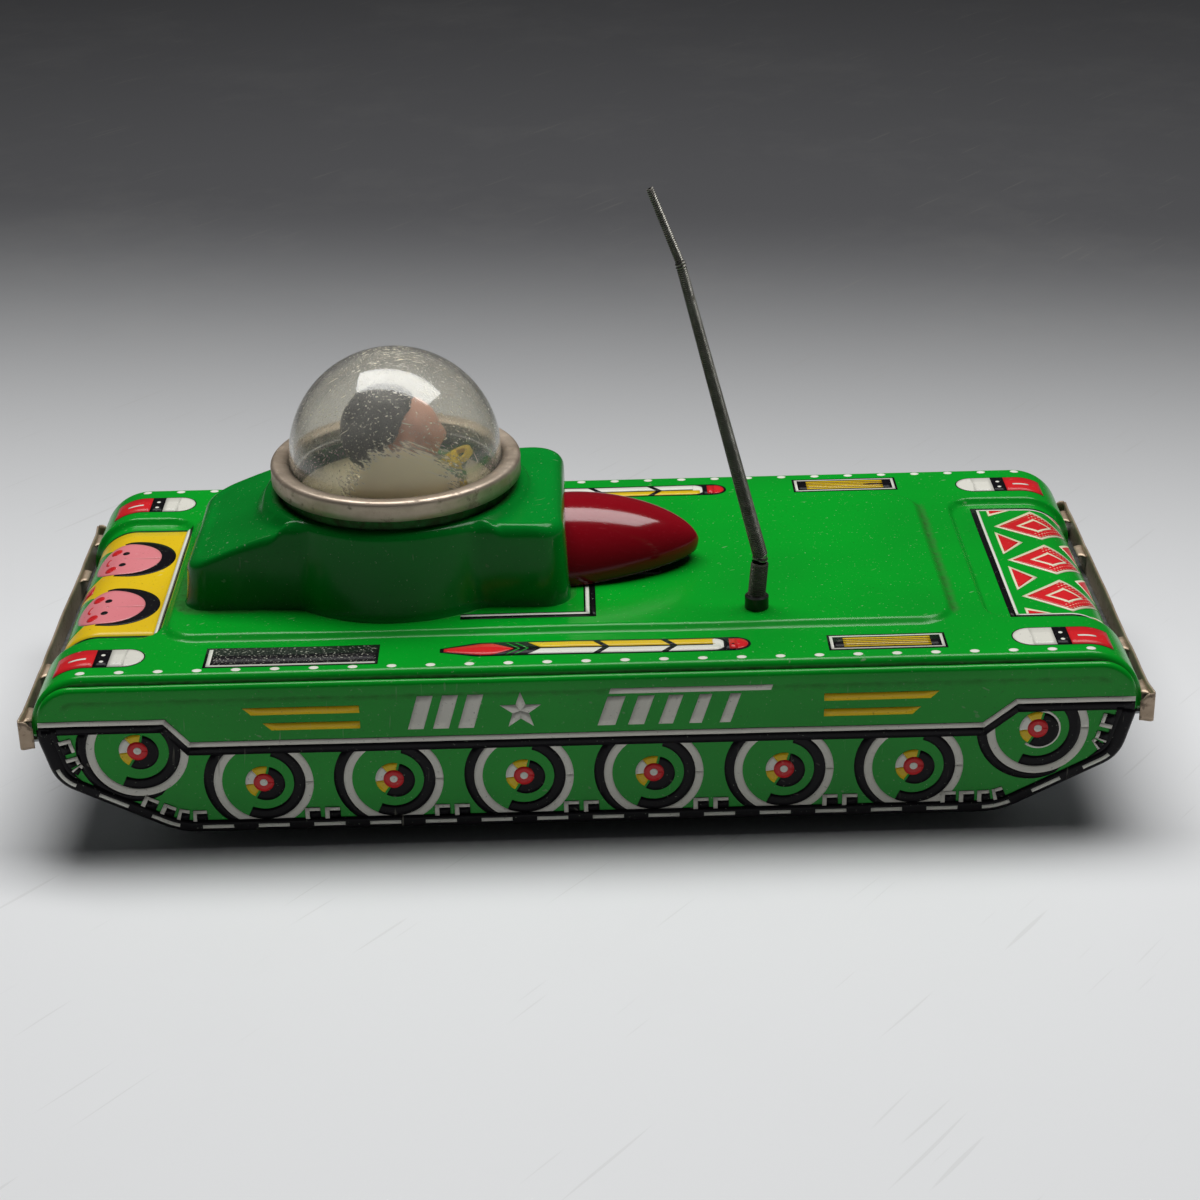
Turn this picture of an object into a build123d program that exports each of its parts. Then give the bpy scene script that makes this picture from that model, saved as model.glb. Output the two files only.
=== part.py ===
"""Tin friction tank with a see-through dome, a spark nose and a whip antenna.

Frame: origin on the floor under the middle of the toy, +X towards the red nose's
end (forward), +Y to the toy's left, +Z up. Millimetres.
"""
from build123d import *
import os
from math import atan2, cos, hypot, pi, radians, sin, tan

os.makedirs("parts", exist_ok=True)

# ---- sheet and overall sizes -------------------------------------------------
tin = 0.5                  # printed tinplate
plate = 0.8                # motor and axle sheet
fit = 0.04                 # radial clearance of a shaft that turns in sheet
rivet_r = 1.0

deck_z = 39.5              # top of the fender strips
deck_half = 49.0           # hull skirt, outside, across
hull_end = 113.0           # hull end wall, outside
end_radius = 11.5          # the deck rolls over at both ends
skirt_z = 30.0             # lower edge of the hull's long skirts
end_wall_z = 26.5          # lower edge of the hull's end walls
plateau_rise = 1.2         # raised middle of the deck
plateau_half = 33.0
plateau_rear = -87.0
plateau_front = 76.0
sink = 1.5                 # sunk picture panels at both ends
sink_half = 31.0
sink_rear = -89.0
sink_front = 84.0
plateau_z = deck_z + plateau_rise

panel_face = 50.4          # outer face of a track panel
panel_bottom = 3.6
panel_top = 37.7
panel_foot = 84.7          # where the flat run of track meets the slope
panel_toe = 109.0          # where the slope turns up into the end
panel_toe_z = 15.9
panel_tip = 112.0
panel_tip_z = 27.0
panel_flange = 3.4
lip_depth = 1.3            # flange where it closes against the hull skirt

floor_z = 8.0              # underside of the base plate
bumper_x = 115.8
bumper_low = 24.0
bumper_high = 30.5

# ---- turret and dome ---------------------------------------------------------
dome_x = -39.7
dome_r = 22.7
dome_z = 67.1              # centre of the dome's sphere
dome_wall = 1.0
ring_r = 26.8
ring_low = 61.8
ring_high = 66.1
neck_r = 25.4              # turret collar under the ring
neck_z = 62.6
turret_top = 59.0
turret_rear = -86.3
turret_front = -3.5
turret_rear_half = 21.0
turret_front_half = 24.0
turret_draft = 6.0         # degrees
seat_low_r = 29.4          # the sides bulge out around the dome
seat_high_r = 26.9
dome_hole_r = 22.3
cab_floor_z = 58.0

# ---- nose --------------------------------------------------------------------
nose_length = 29.1
nose_r = 14.6
nose_tilt = 8.0            # degrees, the tip rides up off the deck
nose_axis_z = 41.2
nose_wall = 1.1
nose_cut_rise = 4.3        # degrees, slope of its open underside

# ---- antenna -----------------------------------------------------------------
antenna_x = 36.0
antenna_y = -26.0
kink = (36.8, -26.0, 51.6)
bend = (20.4, -26.0, 116.1)
mast_tip = (14.5, -26.0, 131.4)

# ---- friction drive ----------------------------------------------------------
module_mm = 0.75
pressure = radians(25)
wheel_r = 11.5
wheel_width = 6.0
wheel_y = 30.0             # middle of a wheel
axle_r = 1.5
shaft_r = 1.0
drive_teeth = 24
lay_pinion_teeth = 12
lay_teeth = 29
fly_pinion_teeth = 10
drive_x = 35.3
axle_z = wheel_r
lay_angle = 45.0           # degrees above level, from the drive axle back to the layshaft
fly_angle = 8.0            # the same, from the layshaft back to the flywheel shaft
rear_x = -62.0
motor_half = 15.0          # inner face of a motor plate
flywheel_r = 13.2
spark_r = 12.0
arm_pin_x = -5.0
pin_r = 0.8

drive_reach = module_mm * (drive_teeth + lay_pinion_teeth) / 2
lay_reach = module_mm * (lay_teeth + fly_pinion_teeth) / 2
lay_x = drive_x - drive_reach * cos(radians(lay_angle))
lay_z = axle_z + drive_reach * sin(radians(lay_angle))
fly_x = lay_x - lay_reach * cos(radians(fly_angle))
fly_z = lay_z + lay_reach * sin(radians(fly_angle))
arm_low = fly_z + spark_r + 1.3      # underside of the flint arm
arm_pin_z = arm_low - 1.5


def save(piece, label):
    piece.label = label
    export_step(piece, f"parts/{label}.step")


def cross_plane(y, x=0.0, z=0.0):
    """An upright plane at y, facing the toy's right side: its X forward, its Y up."""
    return Plane((x, y, z), x_dir=(1, 0, 0), z_dir=(0, -1, 0))


# ==== hull ====================================================================

def hull_block(inset):
    """The hull's plain outer form, or its form one inset further in."""
    with BuildPart() as block:
        with BuildSketch(Plane.XZ):
            with BuildLine():
                outline = FilletPolyline(
                    (-hull_end + inset, end_wall_z),
                    (-hull_end + inset, deck_z - inset),
                    (hull_end - inset, deck_z - inset),
                    (hull_end - inset, end_wall_z),
                    radius=end_radius - inset,
                )
                Line(outline @ 1, outline @ 0)
            make_face()
        extrude(amount=deck_half - inset, both=True)
    return block.part


def hull_form(inset):
    """The deck with its raised middle and its two sunk end panels."""
    end_zone = hull_block(inset) - hull_block(inset + sink)
    with BuildPart() as form:
        add(hull_block(inset))
        middle = (plateau_rear + plateau_front) / 2
        with BuildSketch(Plane.XY.offset(deck_z - inset)):
            with Locations((middle, 0)):
                Rectangle(plateau_front - plateau_rear - 2 * inset, 2 * (plateau_half - inset))
        extrude(amount=plateau_rise, taper=50)
        with BuildPart(mode=Mode.PRIVATE) as zones:
            for start, end in ((-hull_end - 1, sink_rear + inset), (sink_front - inset, hull_end + 1)):
                with Locations(((start + end) / 2, 0, deck_z)):
                    Box(end - start, 2 * (sink_half + inset), 60)
        add(end_zone & zones.part, mode=Mode.SUBTRACT)
    return form.part


hull_outside = hull_form(0)
hull_inside = hull_form(tin)
spark_slot = (-1.0, 16.5, 7.0)       # from x, to x, half width
turret_tabs = [(-70.0, 21.3), (-14.0, 23.3)]   # x and distance from the middle

with BuildPart() as top_shell:
    add(hull_outside)
    add(hull_inside, mode=Mode.SUBTRACT)
    # the cavity is open below and the long skirts stop short of the end walls
    with Locations((0, 0, skirt_z - 5)):
        Box(2 * (hull_end - tin - 3), 2 * deck_half + 2, 10, mode=Mode.SUBTRACT)
    with Locations(((spark_slot[0] + spark_slot[1]) / 2, 0, plateau_z)):
        Box(spark_slot[1] - spark_slot[0], 2 * spark_slot[2], 5, mode=Mode.SUBTRACT)
    with Locations((antenna_x, antenna_y, plateau_z)):
        Cylinder(1.6, 6, mode=Mode.SUBTRACT)
    for tab_x, tab_y in turret_tabs:
        with Locations((tab_x, tab_y, plateau_z), (tab_x, -tab_y, plateau_z)):
            Box(6.4, 1.1, 5, mode=Mode.SUBTRACT)
save(top_shell.part, "top_shell")

# ==== track panels ============================================================

with BuildPart() as right_side_panel:
    with BuildSketch(Plane.XZ.offset(panel_face - panel_flange)):
        with BuildLine():
            Polyline(
                (-panel_foot, panel_bottom),
                (panel_foot, panel_bottom),
                (panel_toe, panel_toe_z),
                (panel_tip, panel_tip_z),
                (panel_tip - 1, panel_top),
                (-panel_tip + 1, panel_top),
                (-panel_tip, panel_tip_z),
                (-panel_toe, panel_toe_z),
                close=True,
            )
        corners = make_face().vertices().group_by(Axis.Y)
        fillet(corners[0], radius=16)
        for level in (1, 2, 3):
            fillet(corners[level], radius=8)
    extrude(amount=panel_flange)
    face_rim = right_side_panel.faces().sort_by(Axis.Y)[0].outer_wire().edges()
    fillet(face_rim, radius=1.1)
    offset(amount=-tin, openings=right_side_panel.faces().sort_by(Axis.Y)[-1])
    # the upper flange is only a lip that closes on the hull skirt
    with Locations((0, -panel_face + lip_depth + 5, panel_top)):
        Box(2 * panel_tip + 4, 10, 2 * (panel_top - 26.0), mode=Mode.SUBTRACT)
save(right_side_panel.part, "right_side_panel")

with BuildPart() as left_side_panel:
    add(mirror(right_side_panel.part, about=Plane.XZ, mode=Mode.PRIVATE))
save(left_side_panel.part, "left_side_panel")

# ==== base plate and the two bumpers =========================================

shelf_x = 108.4                      # the end slopes of the plate run inside the panels' flanges
heel_x = 87.6
ear_y = 50.2                         # outer face of a bumper's folded ear
tongue_spots = (-44, -24, 24, 44)
shelf_half = 46.5
well_half = 12.4
well_width = 9.0
motor_feet = (-4.0, 20.0)            # middle of each foot, along the toy
bracket_y = 21.0
motor_rivet_spots = [(x, hand * (motor_half + plate + 3.2)) for x in motor_feet for hand in (-1, 1)]
bracket_rivet_spots = [(rear_x + dx, hand * (bracket_y - 3.6)) for dx in (-4, 4) for hand in (-1, 1)]

with BuildPart() as base_plate:
    with BuildSketch(Plane.XZ):
        with BuildLine():
            Polyline(
                (-shelf_x - 0.5, bumper_low + tin),
                (-shelf_x, bumper_low + tin),
                (-heel_x, floor_z + tin),
                (heel_x, floor_z + tin),
                (shelf_x, bumper_low + tin),
                (shelf_x + 0.5, bumper_low + tin),
                (shelf_x + 0.5, bumper_low),
                (shelf_x + 0.35, bumper_low),
                (heel_x + 0.35, floor_z),
                (-heel_x - 0.35, floor_z),
                (-shelf_x - 0.35, bumper_low),
                (-shelf_x - 0.5, bumper_low),
                close=True,
            )
        make_face()
    extrude(amount=49.2, both=True)
    for side in (-1, 1):
        # shelf out to the bumper, narrow enough to pass between the track panels
        shelf_end = bumper_x - tin
        shelf_start = shelf_x - 0.4
        with Locations((side * (shelf_start + shelf_end) / 2, 0, bumper_low + tin / 2)):
            Box(shelf_end - shelf_start, 2 * shelf_half, tin)
    with Locations(*[(x, y, floor_z) for x in (drive_x, rear_x) for y in (-wheel_y, wheel_y)]):
        Box(2 * well_half, well_width, 4, mode=Mode.SUBTRACT)
    with Locations((drive_x, 4.5, floor_z)):
        Box(2 * 10.6, 5, 4, mode=Mode.SUBTRACT)
    with Locations(*[(x, y, floor_z) for x, y in motor_rivet_spots + bracket_rivet_spots]):
        Cylinder(rivet_r, 4, mode=Mode.SUBTRACT)
save(base_plate.part, "base_plate")

for side, label in ((1, "front_bumper"), (-1, "rear_bumper")):
    with BuildPart() as bumper:
        with Locations((side * (bumper_x - tin / 2), 0, (bumper_low + bumper_high) / 2)):
            Box(tin, 2 * ear_y, bumper_high - bumper_low)
        # short tongues back to the hull's end wall
        with Locations(*[(side * (hull_end + bumper_x) / 2, y, 28.8) for y in tongue_spots]):
            Box(bumper_x - hull_end, 6, tin)
        # ears folded back along the toy
        for ear_face in (ear_y, -ear_y + tin):
            with BuildSketch(cross_plane(ear_face)):
                with BuildLine():
                    Polyline(
                        (side * bumper_x, bumper_low + 0.2),
                        (side * (bumper_x + 0.1), bumper_high - 1.9),
                        (side * (bumper_x - 1.3), bumper_high),
                        (side * (bumper_x - 3.6), bumper_high - 1.6),
                        (side * (bumper_x - 3.3), bumper_low + 0.5),
                        close=True,
                    )
                make_face()
            extrude(amount=tin)
    save(bumper.part, label)

# ==== turret =================================================================

def turret_block(inset):
    """The turret's outer form, or its form one inset further in."""
    rear = turret_rear + inset
    front = turret_front - inset
    with BuildPart() as block:
        with BuildSketch(Plane.XY.offset(plateau_z)) as plan:
            with BuildLine():
                Polyline(
                    (rear, -turret_rear_half + inset),
                    (front, -turret_front_half + inset),
                    (front, turret_front_half - inset),
                    (rear, turret_rear_half - inset),
                    close=True,
                )
            make_face()
            fillet(plan.vertices(), radius=5 - inset)
        extrude(amount=turret_top - plateau_z, taper=turret_draft)
        with BuildSketch(Plane.XZ) as side:
            with BuildLine():
                Polyline(
                    (dome_x, plateau_z),
                    (dome_x + seat_low_r - inset, plateau_z),
                    (dome_x + seat_high_r - inset, turret_top),
                    (dome_x, turret_top),
                    close=True,
                )
            make_face()
        revolve(axis=Axis((dome_x, 0, 0), (0, 0, 1)))
        with BuildSketch(Plane.XZ) as profile:
            with BuildLine():
                Polyline(
                    (rear, plateau_z - 1),
                    (front, plateau_z - 1),
                    (front, turret_top - inset),
                    (-61, turret_top - inset),
                    (rear + 2.3, 49.8 - inset),
                    (rear, plateau_z),
                    close=True,
                )
            make_face()
            high = profile.vertices().filter_by(lambda v: v.Y > 45 and abs(v.X + 61) > 1)
            fillet(high, radius=3.2 - inset)
        extrude(amount=40, both=True, mode=Mode.INTERSECT)
    return block.part


turret_outside = turret_block(0)
turret_inside = turret_block(tin)

with BuildPart() as turret_shell:
    add(turret_outside)
    with Locations((dome_x, 0, (turret_top + neck_z) / 2 - 0.5)):
        Cylinder(neck_r, neck_z - turret_top + 1)
    add(turret_inside, mode=Mode.SUBTRACT)
    with Locations((dome_x, 0, neck_z)):
        Cylinder(dome_hole_r, 12, mode=Mode.SUBTRACT)
    with Locations((dome_x, 0, turret_top + 0.55)):
        Cylinder(neck_r - tin, 5.1, mode=Mode.SUBTRACT)
    # round mouth that the nose plugs into
    with BuildSketch(Plane.YZ.offset(turret_front - 4)):
        with Locations((0, nose_axis_z)):
            Circle(nose_r - nose_wall / 2 + 0.05)
    extrude(amount=6, mode=Mode.SUBTRACT)
    for tab_x, tab_y in turret_tabs:
        for hand in (-1, 1):
            with Locations((tab_x, hand * tab_y, plateau_z - 0.9)):
                Box(6, tin, 3.8)
save(turret_shell.part, "turret_shell")

# ==== dome, its ring and the cab ==============================================

flange_z = neck_z + 0.05
flange_top = flange_z + 1.0
with BuildPart() as dome:
    with BuildSketch(Plane.XZ):
        with Locations((dome_x, dome_z)):
            Circle(dome_r)
            Circle(dome_r - dome_wall, mode=Mode.SUBTRACT)
        with Locations((dome_x, dome_z)):
            Rectangle(2 * dome_r, 2 * dome_r, align=(Align.CENTER, Align.MAX), mode=Mode.SUBTRACT)
        with Locations((dome_x + dome_r, dome_z)):
            Rectangle(dome_wall, dome_z - flange_z, align=(Align.MAX, Align.MAX))
        with Locations((dome_x + neck_r - 0.4, flange_z)):
            Rectangle(neck_r - 0.4 - dome_r + dome_wall, 1.0, align=(Align.MAX, Align.MIN))
        with Locations((dome_x, dome_z)):
            Rectangle(3 * dome_r, 3 * dome_r, align=(Align.MAX, Align.CENTER), mode=Mode.SUBTRACT)
    revolve(axis=Axis((dome_x, 0, 0), (0, 0, 1)))
save(dome.part, "dome")

with BuildPart() as dome_ring:
    with BuildSketch(Plane.XZ):
        with BuildLine():
            Polyline(
                (dome_x + ring_r, ring_low),
                (dome_x + ring_r, ring_high - 1.2),
                (dome_x + ring_r - 1.1, ring_high),
                (dome_x + dome_r + 0.1, ring_high - 0.6),
                (dome_x + dome_r + 0.1, ring_high - 1.2),
                (dome_x + ring_r - 1.4, ring_high - 0.7),
                (dome_x + ring_r - 0.6, ring_high - 1.5),
                (dome_x + ring_r - 0.6, ring_low),
                close=True,
            )
        make_face()
    revolve(axis=Axis((dome_x, 0, 0), (0, 0, 1)))
save(dome_ring.part, "dome_ring")

with BuildPart() as dome_floor:
    with Locations((dome_x, 0, cab_floor_z)):
        Cylinder(dome_hole_r - 0.1, 0.6, align=(Align.CENTER, Align.CENTER, Align.MIN))
save(dome_floor.part, "dome_floor")

head_x = dome_x - 0.8
head_z = 73.4
with BuildPart() as driver_head:
    with Locations((head_x, 0, head_z)):
        Sphere(8.6)
    with Locations((head_x, 0, head_z - 9)):
        Cylinder(3.6, 6)
save(driver_head.part, "driver_head")

with BuildPart() as driver_hair:
    with Locations((head_x - 0.4, 0, head_z + 0.5)):
        Sphere(9.6)
    add(driver_head.part, mode=Mode.SUBTRACT)
    with Locations((head_x + 8.0, 0, head_z - 4)):
        Box(14, 30, 18, mode=Mode.SUBTRACT)
    with Locations((head_x, 0, head_z - 10)):
        Box(30, 30, 9, mode=Mode.SUBTRACT)
save(driver_hair.part, "driver_hair")

bust_low = cab_floor_z + 0.6
with BuildPart() as driver_torso:
    with BuildSketch(Plane.XY.offset(bust_low)):
        with Locations((head_x, 0)):
            Ellipse(7.5, 11)
    with BuildSketch(Plane.XY.offset(head_z - 8.2)):
        with Locations((head_x, 0)):
            Ellipse(4.4, 7)
    loft()
    add(driver_head.part, mode=Mode.SUBTRACT)
save(driver_torso.part, "driver_torso")

with BuildPart() as control_wheel:
    # hand wheel on a raked stem in front of the driver
    with BuildSketch(Plane((head_x + 13.6, 0, 64.6), x_dir=(0, 1, 0), z_dir=(-0.5, 0, 0.866))):
        Circle(4.4)
        Circle(3.2, mode=Mode.SUBTRACT)
        Rectangle(8, 1.2)
        Circle(1.3)
    extrude(amount=1.1)
    with BuildSketch(Plane((head_x + 15.3, 0, bust_low), x_dir=(0, 1, 0), z_dir=(-0.275, 0, 0.961))):
        Circle(0.9)
    extrude(amount=6.4)
    with Locations((dome_x, 0, bust_low - 3)):
        Box(60, 60, 6, mode=Mode.SUBTRACT)
save(control_wheel.part, "control_wheel")

# ==== red nose ================================================================

def nose_radius(t, wall):
    """Radius of the bullet at t, from 0 at its root to 1 at its tip."""
    return max(nose_r * (1 - t ** 1.6) ** 0.6 - wall, 0)


nose_plane = Plane(
    (turret_front, 0, nose_axis_z),
    x_dir=(cos(radians(nose_tilt)), 0, sin(radians(nose_tilt))),
    z_dir=(0, -1, 0),
)


def bullet(wall, root):
    """The bullet of revolution, wall further in, with its root drawn back by root."""
    length = nose_length - wall
    with BuildPart() as form:
        with BuildSketch(nose_plane):
            with BuildLine():
                side = Spline(
                    *[(t * length, nose_radius(t, wall)) for t in (0, 0.2, 0.4, 0.6, 0.78, 0.9, 0.97)],
                    (length, 0),
                )
                Polyline(side @ 0, (-root, nose_radius(0, wall)), (-root, 0), side @ 1)
            make_face()
        revolve(axis=Axis(nose_plane.origin, nose_plane.x_dir))
    return form.part


mouth_r = nose_r - nose_wall / 2 + 0.05
cut_normal = (-sin(radians(nose_cut_rise)), 0, cos(radians(nose_cut_rise)))
with BuildPart() as nose_cone:
    add(bullet(0, 4))
    with Locations((turret_front - 10, 0, nose_axis_z)):
        Box(20, 60, 60, mode=Mode.SUBTRACT)
    # plug that enters the turret's mouth
    with BuildSketch(Plane.YZ.offset(turret_front - 2.5)):
        with Locations((0, nose_axis_z)):
            Circle(mouth_r - 0.05)
    extrude(amount=3.5)
    add(bullet(nose_wall, 0.5), mode=Mode.SUBTRACT)
    with BuildSketch(Plane.YZ.offset(turret_front - 3)):
        with Locations((0, nose_axis_z)):
            Circle(mouth_r - nose_wall - 0.5)
    extrude(amount=6, mode=Mode.SUBTRACT)
    # open underside, cut on a slope that rises towards the tip
    with BuildSketch(Plane((turret_front - 2.5, 0, plateau_z + 0.05), x_dir=(0, 1, 0), z_dir=cut_normal)):
        Rectangle(80, 120)
    extrude(amount=-30, mode=Mode.SUBTRACT)
save(nose_cone.part, "nose_cone")

# ==== antenna =================================================================

with BuildPart() as antenna_socket:
    with Locations((antenna_x, antenna_y, plateau_z)):
        Cylinder(2.5, 3.0, align=(Align.CENTER, Align.CENTER, Align.MIN))
        Cylinder(1.5, 3.0, align=(Align.CENTER, Align.CENTER, Align.MAX))
    chamfer(antenna_socket.edges().group_by(Axis.Z)[-1], length=0.4)
    with Locations((antenna_x, antenna_y, plateau_z - tin)):
        Cylinder(2.3, 0.6, align=(Align.CENTER, Align.CENTER, Align.MAX))
save(antenna_socket.part, "antenna_socket")

stub_top = kink[2] - 0.7
with BuildPart() as antenna_stub:
    with Locations((antenna_x, antenna_y, plateau_z + 3.0)):
        Cylinder(2.0, stub_top - plateau_z - 3.0, align=(Align.CENTER, Align.CENTER, Align.MIN))
save(antenna_stub.part, "antenna_stub")


def rod_plane(start, end):
    """A plane at start whose normal runs to end."""
    return Plane(start, x_dir=(0, 1, 0), z_dir=(Vector(*end) - Vector(*start)).normalized())


mast_foot = (kink[0] - 0.12, kink[1], kink[2] + 0.5)
with BuildPart() as antenna_mast:
    with BuildSketch(rod_plane(mast_foot, bend)):
        Circle(1.65)
    with BuildSketch(Plane(bend, x_dir=(0, 1, 0), z_dir=rod_plane(mast_foot, bend).z_dir)):
        Circle(1.1)
    loft()
save(antenna_mast.part, "antenna_mast")

with BuildPart() as antenna_tip:
    with BuildSketch(Plane(bend, x_dir=(0, 1, 0), z_dir=rod_plane(bend, mast_tip).z_dir)):
        Circle(0.95)
    with BuildSketch(Plane(mast_tip, x_dir=(0, 1, 0), z_dir=rod_plane(bend, mast_tip).z_dir)):
        Circle(0.8)
    loft()
    add(antenna_mast.part, mode=Mode.SUBTRACT)
save(antenna_tip.part, "antenna_tip")

# ==== friction drive ==========================================================

def involute(angle_from_base, base):
    """Point on the involute of a base circle, as its radius and its turn."""
    radius = base * hypot(1, angle_from_base)
    return radius, angle_from_base - atan2(angle_from_base, 1)


def gear_outline(teeth, tooth_at, slack=0.14):
    """Corner points of a stub-toothed involute gear, one tooth centred at tooth_at radians."""
    pitch_r = module_mm * teeth / 2
    base = pitch_r * cos(pressure)
    tip_r = pitch_r + 0.8 * module_mm
    root_r = pitch_r - 1.05 * module_mm
    half_at_pitch = (pi * module_mm / 2 - slack) / 2 / pitch_r
    half_at_base = half_at_pitch + tan(pressure) - pressure
    roll_in = max(root_r ** 2 / base ** 2 - 1, 0) ** 0.5
    roll_out = (tip_r ** 2 / base ** 2 - 1) ** 0.5
    flank = [involute(roll_in + (roll_out - roll_in) * k / 3, base) for k in range(4)]
    half_tooth = [(r, half_at_base - turn) for r, turn in flank]
    if root_r < base:
        half_tooth.insert(0, (root_r, half_at_base))
    points = []
    for tooth in range(teeth):
        middle = tooth_at + 2 * pi * tooth / teeth
        for r, half in half_tooth:
            points.append((r * cos(middle - half), r * sin(middle - half)))
        for r, half in reversed(half_tooth):
            points.append((r * cos(middle + half), r * sin(middle + half)))
    return points


def rod(x, z, radius, low_y, high_y):
    """A round bar across the toy, from low_y to high_y."""
    with BuildPart() as bar:
        with BuildSketch(cross_plane(high_y, x, z)):
            Circle(radius)
        extrude(amount=high_y - low_y)
    return bar.part


def gear(x, z, teeth, tooth_at, low_y, high_y, bore_r):
    """A spur gear on a shaft that runs across the toy."""
    with BuildPart() as wheel:
        with BuildSketch(cross_plane(high_y, x, z)):
            with BuildLine():
                Polyline(*gear_outline(teeth, tooth_at), close=True)
            make_face()
            Circle(bore_r, mode=Mode.SUBTRACT)
        extrude(amount=high_y - low_y)
    return wheel.part


# every pair has a tooth of one gear and a gap of the other on the line of centres
to_lay = pi - radians(lay_angle)
to_fly = pi - radians(fly_angle)
plate_out = motor_half + plate

drive_axle = rod(drive_x, axle_z, axle_r, -wheel_y - 3.6, wheel_y + 3.6)
save(drive_axle, "drive_axle")
drive_gear = gear(drive_x, axle_z, drive_teeth, to_lay, 3.5, 5.5, axle_r)
save(drive_gear, "drive_gear")
layshaft = rod(lay_x, lay_z, shaft_r, -plate_out - 0.6, plate_out + 0.6)
save(layshaft, "layshaft")
layshaft_pinion = gear(
    lay_x, lay_z, lay_pinion_teeth, to_lay + pi + pi / lay_pinion_teeth, 2.9, 6.1, shaft_r)
save(layshaft_pinion, "layshaft_pinion")
layshaft_gear = gear(lay_x, lay_z, lay_teeth, to_fly, 8.0, 10.0, shaft_r)
save(layshaft_gear, "layshaft_gear")
flywheel_shaft = rod(fly_x, fly_z, shaft_r, -plate_out - 0.6, plate_out + 0.6)
save(flywheel_shaft, "flywheel_shaft")
flywheel_pinion = gear(
    fly_x, fly_z, fly_pinion_teeth, to_fly + pi + pi / fly_pinion_teeth, 7.4, 10.6, shaft_r)
save(flywheel_pinion, "flywheel_pinion")

with BuildPart() as flywheel:
    # lead disc, dished on both faces
    add(rod(fly_x, fly_z, flywheel_r, -13.0, -6.6))
    add(rod(fly_x, fly_z, flywheel_r - 3.5, -14.0, -12.0), mode=Mode.SUBTRACT)
    add(rod(fly_x, fly_z, flywheel_r - 3.5, -7.6, -6.0), mode=Mode.SUBTRACT)
    add(rod(fly_x, fly_z, 3.0, -13.6, -5.4))
    add(rod(fly_x, fly_z, shaft_r, -15.0, -5.0), mode=Mode.SUBTRACT)
save(flywheel.part, "flywheel")

with BuildPart() as spark_wheel:
    add(rod(fly_x, fly_z, spark_r, -1.5, 1.5))
    add(rod(fly_x, fly_z, 2.6, -2.6, 2.6))
    add(rod(fly_x, fly_z, shaft_r, -3.0, 3.0), mode=Mode.SUBTRACT)
save(spark_wheel.part, "spark_wheel")

for hand, side in ((1, "left"), (-1, "right")):
    inner = wheel_y - wheel_width / 2
    outer = wheel_y + wheel_width / 2
    with BuildPart() as drive_wheel:
        add(rod(drive_x, axle_z, wheel_r - 2.0, inner, outer))
        add(rod(drive_x, axle_z, wheel_r - 3.6, outer - 1.6, outer + 1), mode=Mode.SUBTRACT)
        add(rod(drive_x, axle_z, 3.2, inner, outer))
        add(rod(drive_x, axle_z, axle_r, inner - 1, outer + 1), mode=Mode.SUBTRACT)
    with BuildPart() as drive_tyre:
        add(rod(drive_x, axle_z, wheel_r, inner, outer))
        add(rod(drive_x, axle_z, wheel_r - 2.0, inner - 1, outer + 1), mode=Mode.SUBTRACT)
    with BuildPart() as rear_wheel:
        add(rod(rear_x, axle_z, wheel_r, inner, outer))
        add(rod(rear_x, axle_z, wheel_r - 1.6, outer - 1.6, outer + 1), mode=Mode.SUBTRACT)
        add(rod(rear_x, axle_z, 3.2, inner, outer))
        add(rod(rear_x, axle_z, axle_r, inner - 1, outer + 1), mode=Mode.SUBTRACT)
    for piece, label in ((drive_wheel, "drive_wheel"), (drive_tyre, "drive_tyre"), (rear_wheel, "rear_wheel")):
        solid = piece.part
        if hand < 0:
            solid = mirror(solid, about=Plane.XZ)
        save(solid, f"{label}_{side}")

rear_axle = rod(rear_x, axle_z, axle_r, -wheel_y - 3.6, wheel_y + 3.6)
save(rear_axle, "rear_axle")

# ---- motor frame, rear axle brackets and their rivets ------------------------

foot_z = floor_z + tin
foot_reach = 5.4
motor_back = -9.5
motor_nose = 44.0
motor_top = 38.4
spacers = ((-6.2, 13.0), (-6.2, 27.5), (40.5, 31.0))

for hand, side in ((1, "left"), (-1, "right")):
    with BuildPart() as motor_plate:
        with BuildSketch(cross_plane(plate_out)):
            with BuildLine():
                Polyline(
                    (motor_back, foot_z + 1.2),
                    (motor_back, motor_top),
                    (fly_x + 6, motor_top),
                    (motor_nose, motor_top - 4),
                    (motor_nose, foot_z + 1.2),
                    close=True,
                )
            make_face()
            for shaft_x, shaft_z, radius in (
                (drive_x, axle_z, axle_r + fit),
                (lay_x, lay_z, shaft_r + fit),
                (fly_x, fly_z, shaft_r + fit),
                (arm_pin_x, arm_pin_z, pin_r),
            ):
                with Locations((shaft_x, shaft_z)):
                    Circle(radius, mode=Mode.SUBTRACT)
            for spacer_x, spacer_z in spacers:
                with Locations((spacer_x, spacer_z)):
                    Circle(0.9, mode=Mode.SUBTRACT)
        extrude(amount=plate)
        for foot_x in motor_feet:
            with Locations((foot_x, motor_half, foot_z)):
                Box(8, plate, 2, align=(Align.CENTER, Align.MIN, Align.MIN))
                Box(8, plate + foot_reach, plate, align=(Align.CENTER, Align.MIN, Align.MIN))
            with Locations((foot_x, motor_half + plate + 3.2, foot_z)):
                Cylinder(rivet_r, 4, mode=Mode.SUBTRACT)
    solid = motor_plate.part if hand > 0 else mirror(motor_plate.part, about=Plane.XZ)
    save(solid, f"motor_plate_{side}")

with BuildPart() as motor_spacers:
    for spacer_x, spacer_z in spacers:
        add(rod(spacer_x, spacer_z, 1.6, -motor_half, motor_half))
        add(rod(spacer_x, spacer_z, 0.9, -plate_out - 0.5, plate_out + 0.5))
save(motor_spacers.part, "motor_spacers")

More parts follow.
